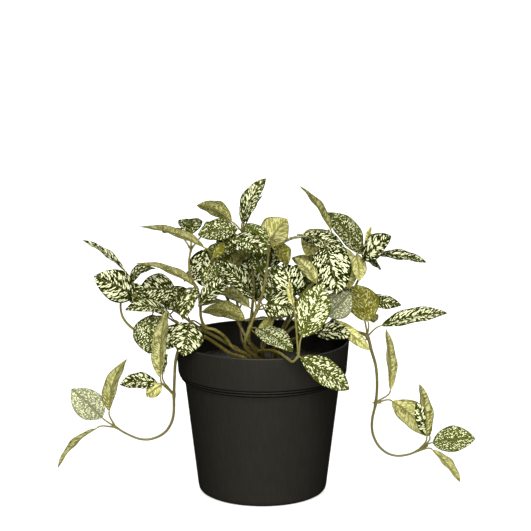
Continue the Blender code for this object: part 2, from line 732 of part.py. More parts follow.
def main():
    clear_scene()
    plant = new_collection("potted_nerve_plant")
    cutters = new_collection("cutters")
    make_pot(plant, cutters, new_material("pot_plastic", POT_COLOUR, POT_ROUGHNESS))
    make_soil(plant, cutters, new_material("soil", SOIL_COLOUR, SOIL_ROUGHNESS))
    foliage = new_material("foliage", LEAF_COLOUR, LEAF_ROUGHNESS)
    for name, plan in STEMS.items():
        make_leafy_stem(name, plan, plant, foliage)


main()
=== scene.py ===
"""The looks of the potted nerve plant: its moulded pot, its compost and its leafy stems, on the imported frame.

Sizes are in millimetres, and MM turns them into the frame's metres. The sections follow the plant as it is
potted: the view, the pot, the compost, the stems with their leaves, and the table and light it is seen in.
"""

import math
import random

import bmesh
import bpy
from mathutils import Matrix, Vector


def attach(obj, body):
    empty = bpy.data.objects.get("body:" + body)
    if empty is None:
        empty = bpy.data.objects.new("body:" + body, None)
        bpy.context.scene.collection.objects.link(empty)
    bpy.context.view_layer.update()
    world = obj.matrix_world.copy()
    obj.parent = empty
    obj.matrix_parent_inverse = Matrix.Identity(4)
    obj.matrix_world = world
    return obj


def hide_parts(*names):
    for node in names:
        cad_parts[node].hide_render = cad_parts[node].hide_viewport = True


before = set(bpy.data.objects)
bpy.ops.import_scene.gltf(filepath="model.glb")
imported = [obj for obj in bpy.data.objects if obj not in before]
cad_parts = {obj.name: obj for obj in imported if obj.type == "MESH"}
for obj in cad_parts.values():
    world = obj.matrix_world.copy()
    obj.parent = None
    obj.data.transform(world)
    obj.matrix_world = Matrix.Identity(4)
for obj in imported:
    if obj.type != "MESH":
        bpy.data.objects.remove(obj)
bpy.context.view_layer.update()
scene = bpy.context.scene
MM = 0.001


# The view
# A long lens looks a little down on the plant from straight in front. EYE is in millimetres, as all places
# are, and the front drawing of the stems below is seen from the same point.

EYE = Vector((2.1, -1282.0, 411.0))
LOOKS_DOWN = math.radians(11.1)
FOCAL_LENGTH = 128.8
SENSOR_WIDTH = 36.0
FARTHEST_SEEN = 50.0

camera = bpy.data.objects.new("camera", bpy.data.cameras.new("camera"))
camera.data.sensor_width = SENSOR_WIDTH
camera.data.lens = FOCAL_LENGTH
camera.data.clip_end = FARTHEST_SEEN
camera.location = EYE * MM
camera.rotation_euler = (math.pi / 2 - LOOKS_DOWN, 0.0, 0.0)
scene.collection.objects.link(camera)
scene.camera = camera


# The pot
# A thin-walled nursery pot, injection moulded in charcoal polypropylene. A flared collar ends in two raised
# beads on the shoulder, the body tapers to a rounded foot, and drain holes go through the floor.

RIM_RADIUS = 60.2
POT_HEIGHT = 108.0
POT_WALL = 1.8
POT_FLOOR = 2.4
COLLAR_FOOT_Z = 85.4
COLLAR_FOOT_RADIUS = 58.4
SHOULDER_FOOT_Z = 77.0
SHOULDER_FOOT_RADIUS = 53.6
BEADS = 2
BEAD_SPACING = 2.1
GROOVE_DEPTH = 0.8
GROOVE_WIDTH = 0.8
BASE_RADIUS = 44.4
INNER_CHAMFER = 3.0
FLOOR_ROUNDING = 1.0
SHOULDER_ROUNDING = 2.0
INNER_LIP_ROUNDING = 0.6
LIP_ROUNDING = 0.7
COLLAR_ROUNDING = 0.5
GROOVE_ROUNDING = 0.15
BEAD_ROUNDING = 0.3
BASE_ROUNDING = 4.5
POT_STEPS = 120
ARC_STEPS = 4
DRAIN_HOLES = 6
DRAIN_RING_RADIUS = 30.0
DRAIN_RADIUS = 3.5
DRAIN_SIDES = 32
POT_EDGE_ANGLE = math.radians(35)

CHARCOAL = (0.0155, 0.0149, 0.0121, 1.0)
CHARCOAL_WORN = (0.024, 0.023, 0.0195, 1.0)
# The lip's colour below is a painted highlight; the deepest charcoal is the painted shade in the grooves
# between the beads, and also tints the plastic's reflection.
CHARCOAL_LIP_HIGHLIGHT = (0.042, 0.042, 0.038, 1.0)
CHARCOAL_DEEP = (0.0025, 0.0025, 0.0020, 1.0)
POT_SHEEN = 0.75
POT_ROUGHNESS = 0.52
GRAIN_SCALE = 1500.0
FLOW_SCALE = (500.0, 60.0)
SCUFF_SCALE = (90.0, 260.0)
SCUFFED_HEIGHT = 10.0
LIP_HIGHLIGHT_BAND = (0.6, 0.1)
GRAIN_RELIEF = 0.06


class Wire:
    """A node's output on which Python maths adds nodes: Math for a number, Vector Math for a vector."""

    def __init__(self, net, socket):
        self.net = net
        self.socket = socket

    def is_vector(self):
        return self.socket.type == "VECTOR"

    def __add__(self, other):
        return self.net.maths("ADD", self, other)

    def __sub__(self, other):
        return self.net.maths("SUBTRACT", self, other)

    def __mul__(self, other):
        return self.net.maths("MULTIPLY", self, other)

    def __truediv__(self, other):
        return self.net.maths("DIVIDE", self, other)

    def __pow__(self, other):
        return self.net.maths("POWER", self, other)

    def __radd__(self, other):
        return self.net.maths("ADD", other, self)

    def __rsub__(self, other):
        return self.net.maths("SUBTRACT", other, self)

    def __rmul__(self, other):
        return self.net.maths("MULTIPLY", self, other)

    def __rtruediv__(self, other):
        return self.net.maths("DIVIDE", other, self)

    def __rpow__(self, other):
        return self.net.maths("POWER", other, self)


class Net:
    """A node tree while it is drawn, of a material or of Geometry Nodes."""

    def __init__(self, tree):
        self.tree = tree

    def feed(self, socket, value):
        if isinstance(value, Wire):
            self.tree.links.new(value.socket, socket)
        else:
            socket.default_value = value

    def add(self, kind, settings=None, values=None):
        """One node: its settings first, then the values or wires of its sockets, by name or place."""
        node = self.tree.nodes.new(kind)
        for name, setting in (settings or {}).items():
            setattr(node, name, setting)
        for key, value in (values or {}).items():
            self.feed(node.inputs[key], value)
        return node

    def out(self, node, key=0):
        return Wire(self, node.outputs[key])

    def maths(self, operation, *values):
        """A number's or a vector's maths, by the kind of its first wire."""
        vectors = [isinstance(value, Wire) and value.is_vector() for value in values]
        if not any(vectors):
            return self.out(self.add("ShaderNodeMath", {"operation": operation}, dict(enumerate(values))))
        if operation == "MULTIPLY" and not all(vectors):
            scaled = {0: values[0], "Scale": values[1]}
            return self.out(self.add("ShaderNodeVectorMath", {"operation": "SCALE"}, scaled))
        return self.out(self.add("ShaderNodeVectorMath", {"operation": operation}, dict(enumerate(values))))

    def mix(self, share, one, other):
        """The colour from one to the other by the share."""
        settings = {"data_type": "RGBA", "clamp_factor": True}
        return self.out(self.add("ShaderNodeMix", settings, {0: share, 6: one, 7: other}), 2)

    def smooth_step(self, value, low, high):
        """From 0 where the value is low to 1 where it is high."""
        settings = {"interpolation_type": "SMOOTHSTEP"}
        return self.out(self.add("ShaderNodeMapRange", settings, {0: value, 1: low, 2: high}))

    def split(self, vector):
        node = self.add("ShaderNodeSeparateXYZ", values={0: vector})
        return [self.out(node, axis) for axis in range(3)]

    def join(self, x, y, z):
        return self.out(self.add("ShaderNodeCombineXYZ", values={0: x, 1: y, 2: z}))

    def noise(self, vector, scale=1.0, detail=2.0, roughness=0.5):
        values = {"Vector": vector, "Scale": scale, "Detail": detail, "Roughness": roughness}
        return self.out(self.add("ShaderNodeTexNoise", values=values))


class Finish(Net):
    """A material with one Principled shader, made by node maths."""

    def __init__(self, name):
        self.material = bpy.data.materials.new(name)
        self.material.use_nodes = True
        super().__init__(self.material.node_tree)
        self.shader = self.tree.nodes["Principled BSDF"]

    def set(self, sockets):
        for name, value in sockets.items():
            self.feed(self.shader.inputs[name], value)

    def place(self):
        return self.out(self.add("ShaderNodeTexCoord"), "Object")

    def attribute(self, name):
        return self.out(self.add("ShaderNodeAttribute", {"attribute_name": name}), "Fac")

    def bump(self, height, depth, strength=1.0):
        """A bump of this depth for a height from 0 to 1."""
        values = {"Height": height, "Distance": depth * MM, "Strength": strength}
        return self.out(self.add("ShaderNodeBump", values=values))


def pot_plastic():
    """Satin plastic with the mould's fine grain, faint flow marks, scuffs near its foot, a painted highlight on
    its lip, and painted shade in the grooves round its beads."""
    made = Finish("charcoal pot plastic")
    place = made.place()
    x, y, z = made.split(place)
    across, up = FLOW_SCALE
    flow = made.noise(made.join(x * across, y * across, z * up), detail=3.0, roughness=0.6)
    across, up = SCUFF_SCALE
    scuffing = made.noise(made.join(x * across, y * across, z * up), detail=4.0, roughness=0.65)
    near_foot = 1.0 - made.smooth_step(z, 0.0, SCUFFED_HEIGHT * MM)
    wear = made.smooth_step(scuffing, 0.60, 0.72) * (near_foot * 0.5 + 0.10)
    plain = made.mix(wear + made.smooth_step(flow, 0.35, 0.70) * 0.25, CHARCOAL, CHARCOAL_WORN)
    # The grooves between the beads are painted near black: painted shade in their recesses.
    turns = (COLLAR_FOOT_Z - GROOVE_WIDTH * 0.8 - z / MM) / BEAD_SPACING
    beaded = made.smooth_step(turns, -0.4, -0.3) - made.smooth_step(turns, BEADS + 0.3, BEADS + 0.4)
    painted_groove_shade = (1.0 - made.smooth_step(made.maths("PINGPONG", turns, 0.5), 0.08, 0.24)) * beaded
    # The top of the lip is painted paler: a painted highlight where the light from above falls on it.
    lip_highlight = made.smooth_step(z, *[(POT_HEIGHT - below) * MM for below in LIP_HIGHLIGHT_BAND])
    made.set({
        "Base Color": made.mix(lip_highlight, made.mix(painted_groove_shade, plain, CHARCOAL_DEEP), CHARCOAL_LIP_HIGHLIGHT),
        "Metallic": POT_SHEEN,
        "Roughness": POT_ROUGHNESS + flow * 0.10 + wear * 0.2,
        "Normal": made.bump(made.noise(place, GRAIN_SCALE) * 0.6 + flow, GRAIN_RELIEF),
        "Specular IOR Level": 0.0,
        "Specular Tint": CHARCOAL_DEEP,
    })
    return made.material


def rounded(corners):
    """The profile with an arc at each corner: a corner is its radius, its height and its rounding."""
    points = []
    for before, corner, after in zip([corners[0], *corners], corners, [*corners[1:], corners[-1]]):
        here = Vector(corner[:2])
        if not corner[2]:
            points.append(here)
            continue
        start = here + (Vector(before[:2]) - here).normalized() * corner[2]
        end = here + (Vector(after[:2]) - here).normalized() * corner[2]
        for i in range(ARC_STEPS + 1):
            t = i / ARC_STEPS
            points.append(start * (1 - t) ** 2 + here * 2 * t * (1 - t) + end * t ** 2)
    return points


def pot_corners():
    """The pot's section from the middle of its floor, up the inside, over the lip and down the outside."""
    wall = POT_WALL
    yield 0.0, POT_FLOOR, 0
    yield BASE_RADIUS - wall - INNER_CHAMFER, POT_FLOOR, FLOOR_ROUNDING
    yield BASE_RADIUS - wall, POT_FLOOR + INNER_CHAMFER, FLOOR_ROUNDING
    yield SHOULDER_FOOT_RADIUS - wall, SHOULDER_FOOT_Z, SHOULDER_ROUNDING
    yield COLLAR_FOOT_RADIUS - wall, COLLAR_FOOT_Z + wall, FLOOR_ROUNDING
    yield RIM_RADIUS - wall, POT_HEIGHT, INNER_LIP_ROUNDING
    yield RIM_RADIUS, POT_HEIGHT, LIP_ROUNDING
    yield COLLAR_FOOT_RADIUS, COLLAR_FOOT_Z, COLLAR_ROUNDING
    slope = (COLLAR_FOOT_RADIUS - SHOULDER_FOOT_RADIUS) / (COLLAR_FOOT_Z - SHOULDER_FOOT_Z)
    for bead in range(BEADS):
        top = COLLAR_FOOT_Z - GROOVE_WIDTH - bead * BEAD_SPACING
        radius = COLLAR_FOOT_RADIUS - slope * (COLLAR_FOOT_Z - top)
        bottom = top - BEAD_SPACING + GROOVE_WIDTH
        yield radius - GROOVE_DEPTH, top, GROOVE_ROUNDING
        yield radius, top - GROOVE_WIDTH, BEAD_ROUNDING
        yield radius - slope * (top - bottom), bottom, BEAD_ROUNDING
    yield radius - slope * BEAD_SPACING - GROOVE_DEPTH, top - BEAD_SPACING, BEAD_ROUNDING
    yield SHOULDER_FOOT_RADIUS, SHOULDER_FOOT_Z, SHOULDER_ROUNDING
    yield BASE_RADIUS, 0.0, BASE_ROUNDING
    yield 0.0, 0.0, 0


def turned(name, corners):
    """A closed turned mesh whose section is given from its axis round to its axis."""
    points = []
    rings = []
    for radius, z in rounded(list(corners)):
        sides = POT_STEPS if radius else 1
        rings.append([len(points) + side % sides for side in range(POT_STEPS + 1)])
        turns = [math.tau * side / sides for side in range(sides)]
        points += [(radius * MM * math.cos(turn), radius * MM * math.sin(turn), z * MM) for turn in turns]
    faces = []
    for ring, other in zip(rings, rings[1:]):
        for side in range(POT_STEPS):
            face = [ring[side], other[side], other[side + 1], ring[side + 1]]
            faces.append(list(dict.fromkeys(face)))
    mesh = bpy.data.meshes.new(name)
    mesh.from_pydata(points, [], faces)
    return mesh


def add_piece(name, mesh, *materials):
    piece = bpy.data.objects.new(name, mesh)
    for material in materials:
        mesh.materials.append(material)
    scene.collection.objects.link(piece)
    return piece


def evaluated_mesh(piece):
    """What the piece's modifiers make of it, as a plain mesh."""
    graph = bpy.context.evaluated_depsgraph_get()
    return bpy.data.meshes.new_from_object(piece.evaluated_get(graph))


def add_drain_cutters():
    bm = bmesh.new()
    for i in range(DRAIN_HOLES):
        angle = math.tau * (i + 0.5) / DRAIN_HOLES
        middle = Vector((math.cos(angle), math.sin(angle), 0.0)) * DRAIN_RING_RADIUS * MM
        made = bmesh.ops.create_cone(
            bm, cap_ends=True, segments=DRAIN_SIDES, radius1=DRAIN_RADIUS * MM, radius2=DRAIN_RADIUS * MM,
            depth=POT_FLOOR * 4 * MM,
        )
        bmesh.ops.translate(bm, vec=middle, verts=made["verts"])
    mesh = bpy.data.meshes.new("drain cutters")
    bm.to_mesh(mesh)
    bm.free()
    return add_piece("drain_cutters", mesh)


pot = add_piece("moulded_pot", turned("moulded pot", pot_corners()), pot_plastic())
cutters = add_drain_cutters()
drilling = pot.modifiers.new("drain holes", "BOOLEAN")
drilling.operation = "DIFFERENCE"
drilling.solver = "EXACT"
drilling.object = cutters
drilled = evaluated_mesh(pot)
pot.modifiers.remove(drilling)
pot.data = drilled
bpy.data.objects.remove(cutters)
drilled.shade_smooth()
drilled.set_sharp_from_angle(angle=POT_EDGE_ANGLE)
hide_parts("pot")
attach(pot, "root")


# The compost
# Dark peat-based potting compost fills the pot to just below the collar. Its crowned top is uneven, and loose
# crumbs of peat and bark lie on it, scattered by Geometry Nodes.

SOIL_GAP = 0.3
SOIL_TOP_Z = 89.0
SOIL_CROWN = 3.0
SOIL_SINKS = 0.4
SOIL_RINGS = 12
SOIL_EDGE_LOW = 2.0
SOIL_EDGE = 1.0
SOIL_EDGE_HIGH = 0.5
SOIL_LUMPS = 1.6
LUMP_SCALE = 120.0
LUMP_LEVEL = 0.62
CRUMB_DENSITY = 42000.0
CRUMB_SIZE = 1.1
CRUMB_SMALLEST = (0.4, 0.4, 0.3)
CRUMB_LARGEST = (1.7, 1.1, 0.9)
CRUMB_SEED = 7
CRUMB_TURN_SEED = 3
CRUMB_SIZE_SEED = 5

PEAT = (0.007, 0.005, 0.003, 1.0)
PEAT_DRY = (0.024, 0.016, 0.010, 1.0)
BARK = (0.045, 0.027, 0.015, 1.0)
CRUMB_SCALE = 420.0
DRY_SCALE = 95.0
BARK_SCALE = 260.0
COMPOST_ROUGHNESS = 0.86
COMPOST_GLOSS = 0.25
CRUMB_RELIEF = 0.9


def compost_finish():
    """Nearly black moist peat with browner, drier crumbs."""
    made = Finish("potting compost")
    place = made.place()
    crumbs = made.noise(place, CRUMB_SCALE, 3.0, 0.6)
    dry = made.smooth_step(crumbs * 0.6 + made.noise(place, DRY_SCALE) * 0.4, 0.48, 0.62)
    bark = made.smooth_step(made.noise(place, BARK_SCALE, 1.0), 0.66, 0.70)
    made.set({
        "Base Color": made.mix(bark, made.mix(dry, PEAT, PEAT_DRY), BARK),
        "Roughness": COMPOST_ROUGHNESS + crumbs * 0.14,
        "Normal": made.bump(crumbs, CRUMB_RELIEF),
        "Specular IOR Level": COMPOST_GLOSS,
    })
    return made.material


def soil_corners():
    """The compost's section from its crown, down the pot's wall to the middle of the floor."""
    edge = COLLAR_FOOT_RADIUS - POT_WALL - SOIL_GAP
    for ring in range(SOIL_RINGS + 1):
        share = ring / SOIL_RINGS
        yield edge * share, SOIL_TOP_Z + SOIL_CROWN * (1 - share ** 2) - SOIL_SINKS, 0
    yield SHOULDER_FOOT_RADIUS - POT_WALL - SOIL_GAP, SHOULDER_FOOT_Z, 0
    yield BASE_RADIUS - POT_WALL - SOIL_GAP, POT_FLOOR + INNER_CHAMFER + SOIL_GAP, 0
    yield BASE_RADIUS - POT_WALL - INNER_CHAMFER - SOIL_GAP, POT_FLOOR + SOIL_GAP, 0
    yield 0.0, POT_FLOOR + SOIL_GAP, 0


class Grower(Net):
    """A Geometry Nodes tree with named inputs, which a modifier of a piece then takes by identifier."""

    def __init__(self, name):
        super().__init__(bpy.data.node_groups.new(name, "GeometryNodeTree"))
        self.ports = {}
        self.new_port("Geometry", "NodeSocketGeometry")
        self.tree.interface.new_socket("Geometry", in_out="OUTPUT", socket_type="NodeSocketGeometry")
        self.source = self.add("NodeGroupInput")

    def new_port(self, name, kind):
        self.ports[name] = self.tree.interface.new_socket(name, in_out="INPUT", socket_type=kind)

    def port(self, name, kind="NodeSocketFloat"):
        """The input of this name, made at its first use."""
        if name not in self.ports:
            self.new_port(name, kind)
        return self.out(self.source, name)

    def shape(self, kind, values=None, settings=None):
        """What one Geometry node of this kind gives."""
        return self.out(self.add("GeometryNode" + kind, settings, values))

    def together(self, *shapes):
        """All the shapes as one, with nothing left an instance."""
        joined = self.add("GeometryNodeJoinGeometry")
        for shape in shapes:
            self.feed(joined.inputs[0], shape)
        return self.shape("RealizeInstances", {"Geometry": self.out(joined)})

    def attribute(self, name, kind="FLOAT"):
        return self.shape("InputNamedAttribute", {"Name": name}, {"data_type": kind})

    def store(self, geometry, name, value, kind="FLOAT", domain="POINT"):
        """The geometry with the value kept on it under this name."""
        values = {"Geometry": geometry, "Name": name, "Value": value}
        return self.shape("StoreNamedAttribute", values, {"data_type": kind, "domain": domain})

    def random_vector(self, low, high, seed):
        settings = {"data_type": "FLOAT_VECTOR"}
        return self.out(self.add("FunctionNodeRandomValue", settings, {0: low, 1: high, "Seed": seed}))

    def finish(self, geometry):
        self.add("NodeGroupOutput", values={0: geometry})

    def grow(self, piece, **inputs):
        """The mesh that the tree makes of the piece, with its inputs given by name."""
        modifier = piece.modifiers.new(self.tree.name, "NODES")
        modifier.node_group = self.tree
        for name, value in inputs.items():
            modifier[self.ports[name.replace("_", " ").capitalize()].identifier] = value
        mesh = evaluated_mesh(piece)
        piece.modifiers.remove(modifier)
        return mesh


def crumb_scatter():
    """Uneven compost: noise pushes its top about, and loose crumbs lie on it, clear of the pot's wall."""
    net = Grower("compost crumbs")
    material = net.port("Material", "NodeSocketMaterial")
    place = net.shape("InputPosition")
    x, y, z = net.split(place)
    on_top = net.smooth_step(z, (SOIL_TOP_Z - SOIL_EDGE_LOW) * MM, (SOIL_TOP_Z - SOIL_EDGE_HIGH) * MM)
    lumps = (net.noise(place, LUMP_SCALE, 3.0) - LUMP_LEVEL) * net.port("Lumps") * on_top
    ground = net.shape("SetPosition", {"Geometry": net.port("Geometry"), "Offset": net.join(0.0, 0.0, lumps)})
    scattered = {
        "Mesh": ground,
        "Selection": net.maths("GREATER_THAN", z, (SOIL_TOP_Z - SOIL_EDGE) * MM),
        "Density": net.port("Density"),
        "Seed": CRUMB_SEED,
    }
    open_radius = COLLAR_FOOT_RADIUS - POT_WALL - SOIL_GAP - CRUMB_SIZE
    off_wall = net.maths("LESS_THAN", (x * x + y * y) ** 0.5, open_radius * MM)
    crumbs = net.shape("InstanceOnPoints", {
        "Points": net.shape("DistributePointsOnFaces", scattered, {"distribute_method": "RANDOM"}),
        "Selection": off_wall * net.maths("GREATER_THAN", z, (SOIL_TOP_Z - SOIL_EDGE_LOW) * MM),
        "Instance": net.shape("MeshIcoSphere", {"Radius": 0.5, "Subdivisions": 1}),
        "Rotation": net.random_vector((0, 0, 0), (math.tau,) * 3, CRUMB_TURN_SEED),
        "Scale": net.random_vector(CRUMB_SMALLEST, CRUMB_LARGEST, CRUMB_SIZE_SEED) * net.port("Crumb size"),
    })
    net.finish(net.shape("SetMaterial", {"Geometry": net.together(ground, crumbs), "Material": material}))
    return net


compost = add_piece("compost", turned("compost", soil_corners()))
compost.data = crumb_scatter().grow(
    compost, material=compost_finish(), lumps=SOIL_LUMPS * MM, density=CRUMB_DENSITY,
    crumb_size=CRUMB_SIZE * MM,
)
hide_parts("soil")
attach(compost, "root")


# The leafy stems
# Thin, wiry olive stems rise from the compost, branch out over the rim and trail. At each node a whorl of
# elliptical leaves stands on short petioles, deep green with cream flecks above and khaki below. Places are
# as on a front drawing in the plane y = 0: across, up and the depth behind it, in perspective from EYE.

STEM_RADIUS_FOOT = 1.35
STEM_RADIUS_TIP = 0.7
STEM_BOTTOM_Z = 75.3
STEM_CLEAR_Z = 94.0
STEM_RISE = 9.0
STEM_STEP = 12.0
STEM_FINE_STEPS = 8
STEM_YOUTH = 0.55
STEM_SEED = 11
NODE_SWELLING = 0.35
NODE_LENGTH = 2.2
BUDS = 3
BUD_SHORTEST = 3.0
BUD_LONGEST = 5.0
BUD_FORWARD = 0.8
BUD_RADIUS = 0.75
BUD_TAPER = 0.85
BUD_YOUTH = 0.7
BUD_STEPS = 5
PETIOLE_STEPS = 12
PETIOLE_FOOT_RADIUS = 0.8
PETIOLE_RADIUS = 0.56
PETIOLE_YOUTH = 0.45
MIDRIB_STEPS = 14
MIDRIB_END = 0.94
MIDRIB_FOOT_RADIUS = 0.42
MIDRIB_TIP_RADIUS = 0.08
MIDRIB_TAPER = 0.7
MIDRIB_SINKS_OVER = 3
MIDRIB_SHOWS = 0.1
TUBE_SIDES = 10
BLADE_THICKNESS = 0.45
BLADE_ALONG = 30
BLADE_ACROSS = 14
BLADE_FOLD = 0.16
FOLD_ROUNDING = 0.9
BLADE_BULGE = 0.10
BLADE_QUILT = 0.10
BLADE_WAVE = 0.5
WAVES_ALONG = 15.0
WAVE_SLANT = 1.4
BLADE_SICKLE = 0.03
OUTLINE_FOOT_POWER = 0.76
OUTLINE_TIP_POWER = 0.84
OUTLINE_WIDEST = OUTLINE_FOOT_POWER / (OUTLINE_FOOT_POWER + OUTLINE_TIP_POWER)
OUTLINE_PEAK = OUTLINE_WIDEST ** OUTLINE_FOOT_POWER * (1 - OUTLINE_WIDEST) ** OUTLINE_TIP_POWER
SHARP_END = 10.0
SHARP_MARGIN = 6.0
SAME_PLACE = 0.002
VEIN_SPACING = 4.2
VEIN_LEAN = 0.75
VEIN_CURVE = 0.02

# The patterns of a leaf: the width of its cream flecks across the veins in millimetres, how many times longer
# they are along them, how much of the leaf they cover, how much of it the large blots among them cover, how
# light its green is, how much of a pale grey-green painted sheen lies on it, and how pale its under side. Each
# leaf strays a little from them.
PATTERNS = {
    "striped": (1.6, 2.8, 0.0, 0.005, 0.32, 0.0, 0.5),
    "speckled": (1.2, 1.6, -0.01, -0.06, 0.60, 0.0, 0.4),
    "blotched": (1.8, 1.8, 0.0, 0.035, 0.32, 0.0, 0.4),
    "spotted": (1.6, 1.7, 0.0, 0.02, 0.85, 0.0, 0.4),
    "lined": (1.25, 3.0, 0.0, -0.02, 0.38, 0.0, 0.9),
    "dotted": (1.3, 1.3, 0.01, -0.12, 0.90, 0.0, 0.5),
    "dark": (1.3, 2.0, -0.03, -0.03, 0.42, 0.0, 0.0),
    # This pattern's green is covered by a painted sheen.
    "silvery": (1.0, 1.5, 0.0, -0.11, 0.80, 1.0, 1.0),
}
COVER_STRAYS = 0.01
TONE_STRAYS = 0.2

